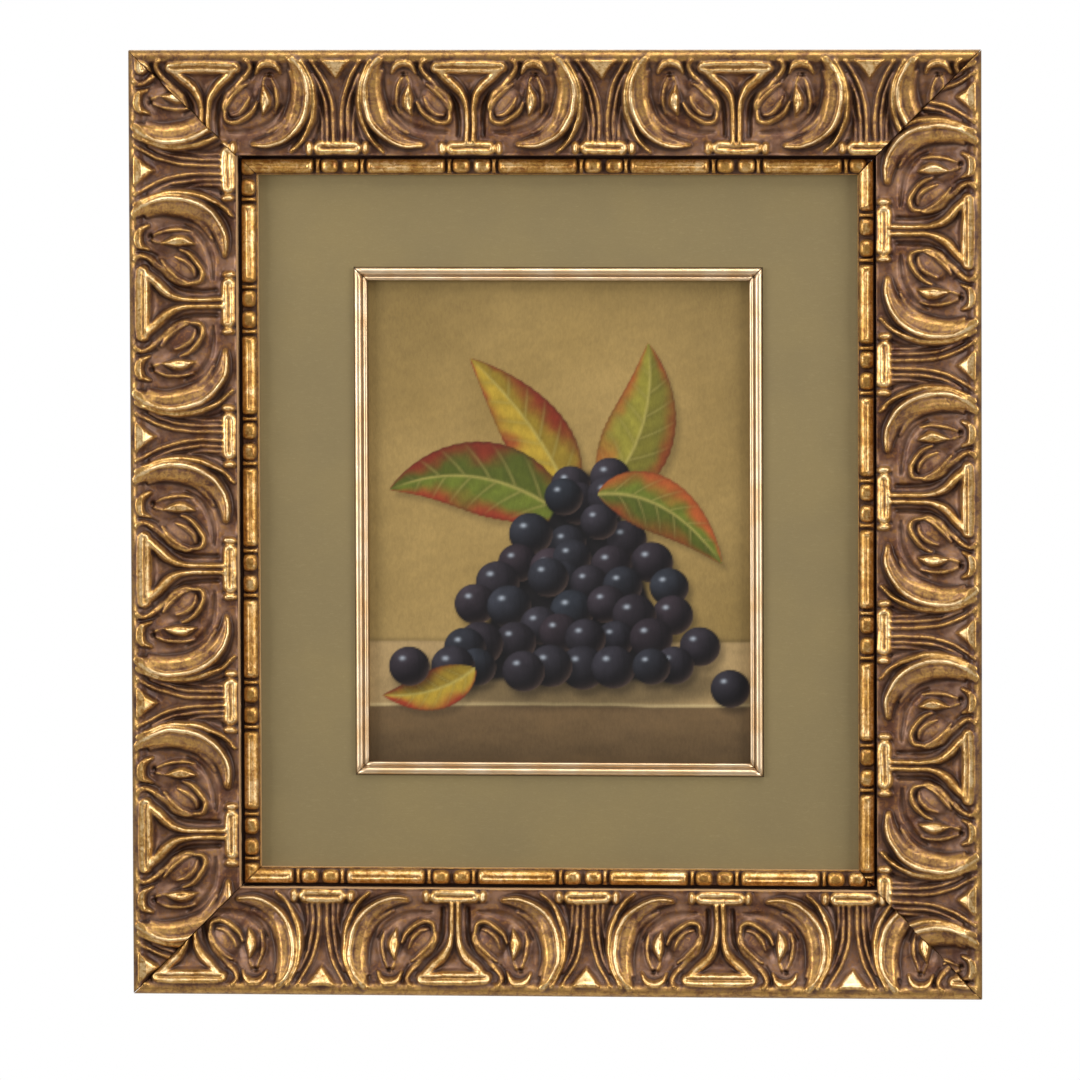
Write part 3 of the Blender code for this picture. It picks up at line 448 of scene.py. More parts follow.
def slip_relief(u, v, bar_at):
    """Height of the slip's bars, beads and discs over its ground, and their share of gilding.

    A bar is a rounded roll about the middle line with blunt ends and a groove along it. A bead is
    a squarish dome with a faint dimple. Both follow the cube root of a sum of cubed distances. A
    thin disc stands off each end of a bar."""
    repeat, half_bar, bead_step, disc_at = 68.0, 20.2, 5.45, 22.5
    x = (u - bar_at + repeat / 2) % repeat - repeat / 2
    across = v - SLIP_MIDDLE

    def swelling(share):
        return np.clip(1 - share**2, 0.0, 1.0) ** 0.5

    past_end = np.maximum(np.abs(x) - (half_bar - 2.6), 0.0)
    bar = swelling(((past_end * 1.4) ** 3 + np.abs(across) ** 3) ** (1 / 3) / 4.1)
    groove = np.clip(1 - (across / 1.0) ** 2, 0.0, 1.0)
    groove = groove * np.clip((half_bar - 2.2 - np.abs(x)) / 1.2, 0.0, 1.0)
    to_bead = np.abs(np.abs(np.abs(x) - repeat / 2) - bead_step)
    bead_share = ((to_bead * 0.84) ** 3 + np.abs(across) ** 3) ** (1 / 3) / 3.95
    bead = swelling(bead_share)
    dimple = np.clip(1 - (bead_share / 0.5) ** 2, 0.0, 1.0)
    disc = swelling(np.maximum(np.abs(np.abs(x) - disc_at) / 1.05, np.abs(across) / 4.1))
    height = np.maximum(bead * 4.1 - 0.35 * dimple, 3.3 * disc)
    height = np.maximum(bar * 4.2 - 0.7 * groove, height)
    gilt = np.maximum(0.84 * smooth_step(0.0, 0.5, bar), 0.75 * smooth_step(0.0, 0.5, disc))
    gilt = np.maximum(gilt, smooth_step(0.0, 0.6, bead) * 0.8)
    return height, gilt


def make_slip(side, sizes, materials):
    """One length of slip: a channel beside the rail, painted dark as shade, bars and beads on a flat
    ground, a thin raised sight edge, and its rebate."""
    front = np.concatenate([
        [SLIP_START, 54.9, 55.3], np.linspace(55.6, 63.9, 36), [64.0, 64.2, 64.4, SLIP_END],
    ])
    rows, on_front, u, v = lay_out(side, sizes, front, SLIP_BACK, 0.6)
    raised, gilt = slip_relief(u, v, BAR_AT[side])
    sight, rounding = smooth_step(63.8, 64.1, v), smooth_step(64.3, SLIP_END, v)
    ground = SLIP_GROUND + 0.5 * sight * (1 - rounding) - 0.6 * rounding
    ground = ground - 2.6 * smooth_step(SLIP_START, 54.9, v) * smooth_step(56.5, 55.8, v)
    flat = np.append(np.zeros(len(front)), [h for _, h in SLIP_BACK])
    height = np.where(on_front, ground + raised, flat)

    # Leaf on the bars, beads, discs and sight edge; wash between them; painted shade in the channel
    # Painted shade: the channel beside the rail, where its shadow falls, is darkened and left bare of leaf
    shadow = 1.25 * smooth_step(56.7, 55.9, v)
    gilding = np.maximum((0.2 + 0.8 * gilt) * np.clip(1 - shadow, 0.0, 1.0), 0.7 * sight) * on_front
    hollow = np.maximum(0.75 * smooth_step(0.6, 0.0, gilt) * (1 - sight), shadow) * on_front
    slip = moulding(
        f"beaded_slip_{side}",
        on_side(side, sizes, u, v, height),
        len(front) - 1,
        {"gilding": gilding, "hollow": hollow, "run": run_of(u, rows, height[0], height)},
        materials,
        [0] * (len(front) - 1) + [1] * (len(rows) - len(front) + 1),
    )
    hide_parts(f"slip_{side}")
    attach(slip, "root")


def fillet_section():
    """(distance in from the mat's window, height, darkening) round the fillet: a broad rounded ridge, a
    groove, a narrower and lower ridge towards the picture and the flange behind the mat. The darkening
    is a darker groove and painted shade at the edges by the picture and the mat."""
    turn = np.linspace(np.pi, 0.0, 13)
    ridge = np.column_stack([2.2 + 1.9 * np.cos(turn), 15.1 + 2.3 * np.sin(turn) ** 0.75])
    groove = np.array([[4.2, 15.1], [4.45, 15.05], [4.7, 15.1]])
    bead = np.column_stack([5.85 + 1.1 * np.cos(turn), 14.9 + 1.35 * np.sin(turn) ** 0.8])
    edge = np.array([[6.97, 14.6], [7.0, 13.8]])
    front = np.vstack([ridge, groove, bead, edge])
    back = np.array([[7.0, 11.4], [-5.0, 11.4], [-5.0, 12.4], [0.3, 12.4]])
    inward, height = np.vstack([front, back]).T
    # Painted shade along the fillet's edges, where it meets the picture and the mat; the groove is darker
    shaded_edges = (inward > 6.93) | (inward < 0.36)
    hollow = 0.4 * np.exp(-(((inward - 4.45) / 0.35) ** 2)) + 0.8 * shaded_edges
    return inward, height, np.clip(hollow, 0.0, 1.0), len(front)


def make_fillet(side, sizes, materials):
    """One mitred length of burnished fillet round the mat's window."""
    level = side in ("top", "bottom")
    length, other = MAT_WINDOW if level else MAT_WINDOW[::-1]
    inset = ((sizes.height if level else sizes.width) / MM - other) / 2
    rows, heights, hollow, front = fillet_section()
    u = along_side(length, rows, 3.0)
    v, height, hollow = (np.broadcast_to(values, u.shape) for values in (rows, heights, hollow))
    fillet = moulding(
        f"pale_fillet_{side}",
        on_side(side, sizes, u, v + inset, height),
        front - 1,
        {"hollow": hollow, "run": run_of(u, rows, heights, height)},
        materials,
        [0] * len(rows),
    )
    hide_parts(f"fillet_{side}")
    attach(fillet, "root")


class Painting:
    """A still life worked out as colours over the panel: dark plums heaped on a stone ledge, with leaves."""

    def __init__(self, p, q):
        """Starts with the buff ground and the ledge. p runs across and q up from the middle, in mm."""
        self.p, self.q = p, q
        patches = clouds(p, q, 60.0, 3)[..., None]
        fine = clouds(p, q, 5.0, 11)[..., None]
        strokes = clouds(p * 0.35 + q * 0.2, q * 1.6 - p * 0.5, 6.0, 23)[..., None]
        self.colour = srgb(119, 97, 52) * (1 - patches) + srgb(147, 122, 73) * patches
        self.colour = self.colour * (0.93 + 0.14 * fine) * (0.95 + 0.1 * strokes)
        edge = smooth_step(70.0, 135.0, np.hypot(p * 1.1, q * 0.9))[..., None]
        self.colour = self.colour * (1 - 0.22 * edge)
        self.thickness = 0.5 * fine[..., 0] + 0.5 * strokes[..., 0]
        self.lay_ledge()

    def lay(self, cover, colour, body=0.0):
        """Covers the picture with a colour where cover is 1, and adds body to the paint there."""
        cover = cover[..., None]
        self.colour = self.colour * (1 - cover) + colour * cover
        self.thickness = self.thickness + body * cover[..., 0]

    def shade(self, cover, strength):
        self.colour = self.colour * (1 - strength * cover[..., None])

    def lay_ledge(self):
        """A stone ledge: a lit top in perspective, a pale worn edge and a front in shade."""
        p, q = self.p, self.q
        grain = clouds(p, q * 2.5, 14.0, 41)[..., None]
        wave = 0.8 * (clouds(p, q * 0, 30.0, 47) - 0.5)
        top = srgb(146, 122, 82) * (0.84 + 0.3 * grain)
        front = srgb(92, 72, 46) * (0.82 + 0.34 * grain)
        self.lay(smooth_step(-61.4, -62.6, q + wave), top)
        front_cover = 1 - smooth_step(-95.9, -94.7, q + wave * 2)
        self.lay(front_cover, front)
        arris = np.exp(-(((q + wave * 2 + 94.6) / 0.8) ** 2))
        self.lay(0.75 * arris, srgb(176, 156, 112), 0.4)
        self.shade(np.exp(-(((q + 61.4 + wave) / 1.1) ** 2)), 0.28)
        self.shade(front_cover * smooth_step(-98.0, -126.0, q), 0.35)

    def lay_leaf(self, base, bend, tip, width, inner, rim, seed):
        """An oval leaf about a bent midrib, pale midrib and side veins, warmer towards its rim.

        The nearest point of the midrib gives each place its share along and its distance across."""
        t = np.linspace(0.0, 1.0, 90)[:, None]
        base, bend, tip = (np.array(a, float) for a in (base, bend, tip))
        line = base * (1 - t) ** 2 + 2 * bend * t * (1 - t) + tip * t**2
        low, high = line.min(0) - width - 8.0, line.max(0) + width + 8.0
        near = (self.p > low[0]) & (self.p < high[0]) & (self.q > low[1]) & (self.q < high[1])
        place = np.column_stack([self.p[near], self.q[near]])
        tangent = np.gradient(line, axis=0)
        tangent /= np.linalg.norm(tangent, axis=1)[:, None]

        def across(shift):
            offset = place - np.array(shift)
            gap = ((offset[:, None] - line[None]) ** 2).sum(2)
            nearest = gap.argmin(axis=1)
            rest = offset - line[nearest]
            side = tangent[nearest, 0] * rest[:, 1] - tangent[nearest, 1] * rest[:, 0]
            ahead = (tangent[nearest] * rest).sum(1) / np.linalg.norm(line[1:] - line[:-1], axis=1).mean()
            share = (nearest + ahead) / (len(line) - 1)
            tooth = 1 + 0.05 * np.abs(((share * 19 + 0.5 * (side > 0)) % 1) - 0.5)
            half = width * np.sin(np.pi * np.clip(share, 0.001, 0.999) ** 0.78) ** 0.85 * tooth
            half = np.where((share < 0.0) | (share > 1.0), 0.0, half)
            return np.clip(share, 0.0, 1.0), side, np.sqrt(gap.min(axis=1)), half

        def put(values):
            field = np.zeros(self.p.shape)
            field[near] = values
            return field

        share, _, gap, half = across((2.6, -3.4))
        self.shade(put(1 - smooth_step(-2.4, 2.0, gap - half)), 0.34)
        share, side, gap, half = across((0.0, 0.0))
        cover = 1 - smooth_step(-0.45, 0.45, gap - half)
        patches = clouds(place[:, 0], place[:, 1], 16.0, seed)
        spots = clouds(place[:, 0], place[:, 1], 3.0, seed + 9)
        out = np.clip(gap / np.maximum(half, 0.4), 0.0, 1.0)
        warm = smooth_step(0.35, 1.0, out * 0.75 + share * 0.28 + (patches - 0.5) * 0.95)[:, None]
        tint = srgb(*inner) * (1 - warm) + srgb(*rim) * warm
        phase = (share * 7.0 - np.abs(side) / width * 1.25 + 0.25 * (side > 0)) % 1.0
        puff = 0.86 + 0.34 * np.sin(np.pi * phase) * (1 - out**3)
        lit = smooth_step(-0.8, 0.8, side)
        tint = tint * (0.8 + 0.3 * spots[:, None]) * (puff * (0.72 + 0.42 * lit))[:, None]
        rib = np.exp(-((side / np.maximum(1.0 - 0.5 * share, 0.6)) ** 2)) * smooth_step(1.02, 0.8, share)
        vein = np.exp(-((np.minimum(phase, 1 - phase) / 0.07) ** 2)) * (1 - out**2) * 0.42
        vein = vein * smooth_step(0.94, 0.8, share)
        pale = np.clip(np.maximum(rib * 0.6, 0.75 * vein), 0.0, 1.0)[:, None]
        tint = tint * (1 - pale) + srgb(170, 156, 84) * pale
        tint = tint * 0.82 * (1 - 0.35 * smooth_step(0.88, 1.0, out))[:, None]
        colour = np.zeros(self.colour.shape)
        colour[near] = tint
        self.lay(put(cover), colour, 0.35)

    def lay_plum(self, p, q, radius, seed):
        """A dark plum: a squashed ball lit from the upper left, with bloom, a seam and a window light."""
        a, b = (self.p - p) / radius, (self.q - q) / (radius * 0.96)
        fall = np.hypot(a - 0.2, b + 0.3)
        self.shade(1 - smooth_step(0.75, 1.3, fall), 0.55)
        gap = np.hypot(a, b)
        cover = 1 - smooth_step(1 - 0.4 / radius, 1 + 0.4 / radius, gap)
        depth = np.sqrt(np.clip(1 - gap**2, 0.0, 1.0))
        light = np.clip(-0.5 * a + 0.58 * b + 0.64 * depth, 0.0, 1.0)[..., None] ** 2.0
        rng = np.random.default_rng(seed)
        hue = rng.random()
        dark = srgb(7 + 4 * hue, 6, 8)
        mid = srgb(44 + 10 * hue, 48 - 4 * hue, 56 - 6 * hue)
        bloom = (0.55 + 0.6 * rng.random()) * clouds(self.p, self.q, 6.5, seed)[..., None]
        skin = dark * (1 - light) + mid * light * (0.55 + 0.75 * bloom)
        bounce = np.clip(0.6 * a - 0.75 * b - 0.25, 0.0, 1.0)[..., None] * (1 - depth[..., None]) ** 2
        skin = skin + bounce * srgb(88, 70, 60)
        seam = np.exp(-(((a - 0.25 - 0.3 * depth) / 0.05) ** 2)) * depth
        skin = skin * (1 - 0.4 * seam[..., None])
        glint = np.exp(-((((a + 0.34) / 0.13) ** 2) + (((b - 0.4) / 0.1) ** 2)))[..., None]
        skin = skin * (1 - 0.6 * glint) + srgb(170, 178, 188) * 0.6 * glint
        self.lay(cover, skin, 0.3)

    def lay_still_life(self):
        """Leaves behind, the heap from its top row down to its foot, and a leaf and two plums before it.

        A dark ground lies under the heap, whose rows are wider and a little further left downwards."""
        green, olive, yellow = (86, 94, 30), (122, 114, 42), (150, 124, 40)
        rust, red = (150, 74, 34), (136, 50, 28)
        self.lay_leaf((20, 12), (52, 44), (46, 92), 18.0, olive, rust, 117)
        self.lay_leaf((6, 10), (-8, 48), (-46, 84), 16.5, yellow, red, 131)
        self.lay_leaf((4, 2), (-42, 36), (-88, 16), 19.0, green, red, 101)
        self.shade(smooth_step(1.3, 0.75, np.hypot((self.p - 6) / 84, (self.q + 84) / 12)), 0.6)
        top, middle, row_height, pitch = 24.0, 16.0, 14.2, 17.0
        below = top - self.q
        reach = np.abs(self.p - middle + 0.12 * below) / np.maximum(8.0 + 0.515 * below, 1.0)
        mass = smooth_step(1.0, 0.88, reach) * smooth_step(-4.0, 2.0, below)
        self.lay(mass * smooth_step(108.0, 104.0, below), srgb(15, 12, 13))
        rng = np.random.default_rng(77)
        number = 0
        for row, count in enumerate((2, 3, 4, 5, 6, 7, 8, 8)):
            level = top - row_height * row
            for place in rng.permutation(count):
                across = middle - 1.7 * row + pitch * (place - (count - 1) / 2) + rng.normal(0.0, 2.8)
                radius = 9.6 + 2.2 * rng.random()
                self.lay_plum(across, level + rng.normal(0.0, 3.2), radius, 200 + 13 * number)
                number += 1
            if row == 2:
                self.lay_leaf((20, 14), (56, 18), (84, -22), 14.5, green, rust, 149)
        self.lay_leaf((-44, -76), (-64, -92), (-92, -90), 10.5, yellow, red, 181)
        self.lay_plum(-78.0, -75.0, 10.6, 811)
        self.lay_plum(88.0, -86.0, 10.2, 829)


def make_painted_panel(materials):
    """The panel as a closed board: a fine grid of painted front points, a little raised where the
    paint is thick, with a ring of side faces and one flat back."""
    low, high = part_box("picture_panel")
    wide, tall = (high.x - low.x) / MM, (high.z - low.z) / MM
    columns, rows = 271, 339
    spans = (np.linspace(-size / 2, size / 2, count) for size, count in ((wide, columns), (tall, rows)))
    p, q = np.meshgrid(*spans, indexing="ij")
    painting = Painting(p, q)
    painting.lay_still_life()
    middle = (low.z + high.z) / 2 / MM
    inner = np.minimum(np.minimum(wide / 2 - np.abs(p), tall / 2 - np.abs(q)), 1.0)
    front = low.y / MM - 0.12 * np.clip(painting.thickness, 0.0, 1.4) * inner
    points = np.stack([p, front, q + middle], axis=-1).reshape(-1, 3)
    index = np.arange(columns * rows).reshape(columns, rows)
    quads = np.stack([index[:-1, :-1], index[1:, :-1], index[1:, 1:], index[:-1, 1:]], axis=-1).reshape(-1, 4)
    ring = np.concatenate([index[:-1, 0], index[-1, :-1], index[:0:-1, -1], index[0, :0:-1]])
    back = points[ring] * (1, 0, 1) + (0, high.y / MM, 0)
    start = len(points)
    behind = np.arange(start, start + len(ring))
    sides = np.stack([ring, behind, np.roll(behind, -1), np.roll(ring, -1)], axis=-1)
    mesh = bpy.data.meshes.new("painted_panel")
    faces = [*quads.tolist(), *sides.tolist(), behind[::-1].tolist()]
    mesh.from_pydata(np.vstack([points, back]) * MM, [], faces)
    kind = np.append(np.zeros(len(quads), np.int32), np.ones(len(sides) + 1, np.int32))
    mesh.polygons.foreach_set("use_smooth", kind == 0)
    mesh.polygons.foreach_set("material_index", kind)
    for material in materials:
        mesh.materials.append(material)
    colour = np.ones((len(points) + len(back), 4))
    colour[: len(points), :3] = painting.colour.reshape(-1, 3)
    add_attributes(mesh, {"paint": colour})
    panel = link("still_life_panel", mesh)
    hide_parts("picture_panel")
    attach(panel, "root")


class Nodes:
    """A node tree being put together."""

    def __init__(self, tree):
        self.tree = tree

    def plug(self, socket, value):
        """Links a node's output to a socket, or sets the socket to a number, a vector or a colour."""
        if isinstance(value, bpy.types.NodeSocket):
            self.tree.links.new(value, socket)
        elif socket.type == "RGBA":
            socket.default_value = (*(float(c) for c in value), 1.0)
        else:
            socket.default_value = value

    def add(self, kind, inputs=(), **settings):
        node = self.tree.nodes.new(kind)
        for name, value in settings.items():
            setattr(node, name, value)
        for name, value in dict(inputs).items():
            self.plug(node.inputs[name], value)
        return node


class Finish(Nodes):
    """A material being put together: each method but surface adds nodes and returns the last one's output."""

    def __init__(self, name):
        self.material = bpy.data.materials.new(name)
        self.material.use_nodes = True
        super().__init__(self.material.node_tree)

    def surface(self, **inputs):
        shader = self.tree.nodes["Principled BSDF"]
        for name, value in inputs.items():
            self.plug(shader.inputs[name.replace("_", " ")], value)
        return self.material

    def place(self, stretch=(1.0, 1.0, 1.0)):
        """The object's own coordinates in metres, stretched along each axis."""
        source = self.add("ShaderNodeTexCoord").outputs["Object"]
        return self.add("ShaderNodeMapping", {"Vector": source, "Scale": stretch}).outputs[0]

    def run(self, stretch=(1.0, 1.0, 1.0)):
        """Metres along a moulding, round its section and out from its back, stretched."""
        source = self.add("ShaderNodeAttribute", attribute_name="run").outputs["Vector"]
        return self.add("ShaderNodeMapping", {"Vector": source, "Scale": stretch}).outputs[0]

    def value(self, name):
        return self.add("ShaderNodeAttribute", attribute_name=name).outputs["Fac"]

    def noise(self, vector, per_metre, detail, roughness=0.55, distortion=0.0):
        inputs = {"Vector": vector, "Scale": per_metre, "Detail": detail, "Roughness": roughness}
        return self.add("ShaderNodeTexNoise", {**inputs, "Distortion": distortion}).outputs["Fac"]

    def maths(self, operation, *values):
        return self.add("ShaderNodeMath", enumerate(values), operation=operation).outputs[0]

    def weighed(self, a, share_a, b, share_b):
        """The sum of two values, each times its share."""
        return self.maths("ADD", self.maths("MULTIPLY", a, share_a), self.maths("MULTIPLY", b, share_b))

    def band(self, value, low, high, bottom=0.0, top=1.0):
        """A smooth step of a value from bottom at low to top at high."""
        inputs = {"Value": value, "From Min": low, "From Max": high, "To Min": bottom, "To Max": top}
        return self.add("ShaderNodeMapRange", inputs, interpolation_type="SMOOTHSTEP").outputs["Result"]

    def blend(self, share, a, b, kind="MIX"):
        inputs = {0: share, 6: a, 7: b}
        return self.add("ShaderNodeMix", inputs, data_type="RGBA", blend_type=kind).outputs[2]

    def turning(self, value, low, high, a, b, most=1.0, kind="MIX"):
        """Colour a where a value is low, turning into b as it rises from low to high, by most of the way."""
        return self.blend(self.band(value, low, high, 0.0, most), a, b, kind)

    def bump(self, height, depth, strength):
        """Raises the surface by a height of 0 to 1, depth in metres."""
        inputs = {"Height": height, "Distance": depth, "Strength": strength}
        return self.add("ShaderNodeBump", inputs).outputs[0]


def tinted(colour, share):
    """A colour times a share, or times a share for each channel."""
    return np.array(colour) * share


def gilding_finish(name, colours, wear_and_shade, cover, warmth):
    """Gold leaf over red clay, rubbed through and toned with a purple-brown wash in the hollows, with dark
    wax in the deepest ones. On the slip the same dark colour is painted shade in the channel by the rail.

    Leaf shows where the gilding attribute, lifted by patches of noise and lowered in the hollows and the
    painted shade, passes a threshold. Warmth tints the leaf."""
    made = Finish(name)
    here = made.place()
    patches = made.noise(here, 90.0, 4.0)
    specks = made.noise(here, 900.0, 4.0, 0.7)
    dabs = made.noise(here, 330.0, 3.0, 0.6, 0.8)
    streaks = made.noise(made.run((0.35, 1.0, 1.0)), 420.0, 5.0, 0.65, 0.6)
    lifted, hollow = made.value("gilding"), made.value("hollow")
    for grain, middle in ((patches, 0.35), (specks, 0.33), (dabs, 0.35)):
        lifted = made.maths("ADD", lifted, made.maths("MULTIPLY_ADD", grain, 0.7, -middle))
    # Leaf thins in the hollows and is lost in the slip's painted shade
    lifted = made.maths("SUBTRACT", lifted, made.maths("MULTIPLY", hollow, wear_and_shade))
    leaf = made.band(lifted, cover - 0.12, cover + 0.66)
    thin, thick = tinted(colours.old_gold, warmth), tinted(colours.gold, warmth)
    rich = made.turning(made.weighed(streaks, 0.4, dabs, 0.6), 0.3, 0.56, thin, thick)
    gold = made.turning(lifted, 0.8, 1.25, rich, colours.bright_gold)
    wash = made.turning(patches, 0.35, 0.7, colours.wash_dark, colours.wash_light)
    wash = made.turning(dabs, 0.46, 0.66, wash, colours.old_gold, 0.6)
    # Dark wax in the hollows; on the slip also painted shade in the channel beside the rail
    grime_and_shade = made.maths("MULTIPLY", hollow, 0.85)
    colour = made.blend(grime_and_shade, made.blend(leaf, wash, gold), colours.grime_and_shade)
    uneven = made.maths("MULTIPLY_ADD", specks, 0.3, -0.12)
    return made.surface(
        Base_Color=colour,
        Metallic=made.band(leaf, 0.0, 1.0, 0.4, 0.95),
        Roughness=made.maths("ADD", made.band(leaf, 0.0, 1.0, 0.46, 0.39), uneven),
        Normal=made.bump(made.weighed(specks, 0.6, streaks, 0.3), 0.00035, 0.5),
        Specular_IOR_Level=0.35, Coat_Weight=0.08, Coat_Roughness=0.3,
    )


def toned_side_finish(colours):
    """The rail's outer edge: ochre bronze paint over wood, darker in patches and scuffed along its length."""
    made = Finish("toned_rail_side")
    scuffs = made.noise(made.run((0.08, 1.0, 1.0)), 220.0, 5.0, 0.6)
    patches = made.noise(made.place(), 28.0, 4.0)
    colour = made.turning(patches, 0.3, 0.7, colours.side, tinted(colours.side, (0.6, 0.54, 0.5)))
    return made.surface(
        Base_Color=made.turning(scuffs, 0.55, 0.75, colour, colours.wash_dark, 0.5), Metallic=0.2,
        Roughness=made.band(patches, 0.3, 0.7, 0.42, 0.58), Normal=made.bump(scuffs, 0.0003, 0.5),
    )


def bare_wood_finish(colours):
    """Planed softwood: growth bands stretched along the moulding, fine grain and a few dark pores."""
    made = Finish("bare_wood")
    bands = made.noise(made.run((0.035, 1.0, 1.0)), 190.0, 2.0, 0.5, 0.5)
    grain = made.noise(made.run((0.03, 1.0, 1.0)), 1500.0, 4.0, 0.7)
    colour = made.turning(bands, 0.3, 0.7, colours.wood, tinted(colours.wood, (0.74, 0.64, 0.52)))
    return made.surface(
        Base_Color=made.turning(grain, 0.5, 0.8, colour, tinted(colours.wood, 0.38), 0.4),
        Roughness=made.band(bands, 0.3, 0.7, 0.62, 0.78),
        Normal=made.bump(made.weighed(grain, 0.6, bands, 0.4), 0.0003, 0.6),
    )


def pale_leaf_finish(colours):
    """Burnished pale gold leaf: faint patches, hairline rubbing along it, a darker groove, and painted
    shade at its edges by the picture and the mat.
    """
    made = Finish("burnished_pale_leaf")
    patches = made.noise(made.place(), 60.0, 3.0)
    hair = made.noise(made.run((0.04, 1.0, 1.0)), 2600.0, 3.0, 0.6)
    colour = made.turning(patches, 0.35, 0.7, colours.pale_leaf, tinted(colours.pale_leaf, (0.9, 0.78, 0.62)))
    # Darker in the groove, and painted shade along the edges by the picture and the mat
    groove_and_edge_shade = made.maths("MULTIPLY", made.value("hollow"), 0.9)
    return made.surface(
        Base_Color=made.blend(groove_and_edge_shade, colour, srgb(132, 92, 56)), Metallic=1.0,
        Roughness=made.band(hair, 0.3, 0.7, 0.38, 0.48), Normal=made.bump(hair, 0.00004, 0.3),
    )


def board_finish(name, colour, fleck, per_metre=1400.0, fibre=0.25):
    """Paper-faced board: soft mottling, long pressed fibres, flecks and a fine tooth."""
    made = Finish(name)
    here = made.place()
    mottle = made.noise(here, 18.0, 4.0)
    tooth = made.noise(here, per_metre, 3.0, 0.6)
    fibres = made.noise(made.place((0.2, 1.0, 1.0)), per_metre * 0.7, 4.0, 0.7, 1.5)
    tone = made.turning(mottle, 0.3, 0.7, tinted(colour, 0.93), tinted(colour, 1.06))
    tone = made.turning(fibres, 0.5, 0.75, tone, fleck, fibre)
    return made.surface(
        Base_Color=made.turning(tooth, 0.3, 0.7, tone, tinted(colour, 0.6), 0.12),
        Roughness=made.band(mottle, 0.3, 0.7, 0.77, 0.87),
        Normal=made.bump(made.weighed(tooth, 0.6, fibres, 0.4), 0.00012, 0.5),
    )


def paint_finish():
    """Oil paint under thin varnish: the worked-out colours, small strokes in relief and uneven gloss."""
    made = Finish("oil_paint")
    here = made.place()
    paint = made.add("ShaderNodeAttribute", attribute_name="paint").outputs["Color"]
    strokes = made.noise(made.place((1.0, 1.0, 0.45)), 700.0, 5.0, 0.65, 0.8)
    weave = made.noise(here, 2400.0, 2.0)
    patches = made.noise(here, 30.0, 3.0)
    return made.surface(
        Base_Color=made.turning(strokes, 0.3, 0.7, paint, srgb(70, 50, 28), 0.16, "MULTIPLY"),
        Roughness=made.band(patches, 0.3, 0.7, 0.5, 0.62), Specular_IOR_Level=0.22,
        Normal=made.bump(made.weighed(strokes, 0.75, weave, 0.25), 0.00018, 0.5),
    )


def metal_finish(name, colour, tarnish, rough, stretch=(1.0, 1.0, 1.0)):
    """Worn metal: drawn streaks, duller tarnished patches and fine pits."""
    made = Finish(name)
    streaks = made.noise(made.place(stretch), 1300.0, 4.0, 0.65)
    patches = made.noise(made.place(), 220.0, 4.0, 0.6)
    share = made.band(patches, 0.42, 0.68)
    tone = made.blend(share, colour, tarnish)
    duller = made.band(share, 0.0, 1.0, rough - 0.06, rough + 0.2)
    return made.surface(
        Base_Color=made.turning(streaks, 0.35, 0.7, tone, tinted(colour, 0.45), 0.25),
        Metallic=made.band(share, 0.0, 1.0, 1.0, 0.75),
        Roughness=made.maths("ADD", duller, made.maths("MULTIPLY_ADD", streaks, 0.2, -0.1)),
        Normal=made.bump(streaks, 0.00006, 0.5),
    )


def felt_finish():
    """Pressed dark felt: tangled fibres in tone and relief, with a little sheen."""
    made = Finish("pressed_felt")
    here = made.place()
    fibres = made.noise(here, 2600.0, 5.0, 0.75, 2.5)
    clumps = made.noise(here, 700.0, 3.0)
    tone = made.turning(fibres, 0.35, 0.65, srgb(38, 34, 32), srgb(82, 76, 72))
    return made.surface(
        Base_Color=made.turning(clumps, 0.4, 0.7, tone, srgb(26, 24, 24), 0.4),
        Roughness=0.95, Sheen_Weight=0.35, Sheen_Roughness=0.5, Normal=made.bump(fibres, 0.0004, 0.9),
    )


def dress(node, material):
    """Gives a node of the CAD frame a better material."""
    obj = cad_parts[node]
    for slot in obj.material_slots:
        slot.material = material


def measure(name, description, subtype, unit, default):
    return bpy.props.FloatProperty(
        name=name, description=description, subtype=subtype, unit=unit, default=default,
    )


def colour_property(name, description, rgb):
    return bpy.props.FloatVectorProperty(
        name=name, description=description, subtype="COLOR", size=3, min=0.0, max=1.0,
        default=tuple(float(c) for c in srgb(*rgb)),
    )


class PictureSizes(bpy.types.PropertyGroup):
    """Sizes of the frame that a user would change."""

    width: measure("Frame width", "Across the outside of the rails", "DISTANCE", "LENGTH", HIGH.x - LOW.x)
    height: measure("Frame height", "Up the outside of the rails", "DISTANCE", "LENGTH", HIGH.z - LOW.z)
    relief: bpy.props.FloatProperty(
        name="Relief", description="Depth of the carving against its drawn depth", subtype="FACTOR",
        min=0.0, max=1.5, default=1.2,
    )


class PictureColours(bpy.types.PropertyGroup):
    """Colours of the gilding, boards, wood and leaf."""

    gold: colour_property("Gold", "Body of the gold leaf", (190, 149, 86))
    bright_gold: colour_property("Bright gold", "Leaf rubbed bright on the highest parts", (222, 194, 148))
    old_gold: colour_property("Old gold", "Thin leaf with clay showing through", (134, 87, 36))
    wash_light: colour_property("Wash", "Purple-brown toning wash, where it is thin", (136, 101, 78))
    wash_dark: colour_property("Dark wash", "Toning wash where it is thick", (82, 48, 31))
    # The same dark colour is also painted shade in the slip's channel beside the rail
    grime_and_shade: colour_property("Grime", "Dark wax in the deepest hollows", (40, 19, 7))
    pale_leaf: colour_property("Pale leaf", "Leaf of the fillet", (208, 185, 154))
    mat: colour_property("Mat", "Olive face paper of the mat", (111, 96, 60))
    side: colour_property("Side", "Ochre bronze paint of the rails' outer sides", (158, 118, 62))
    wood: colour_property("Wood", "Bare wood of the backs", (196, 158, 112))


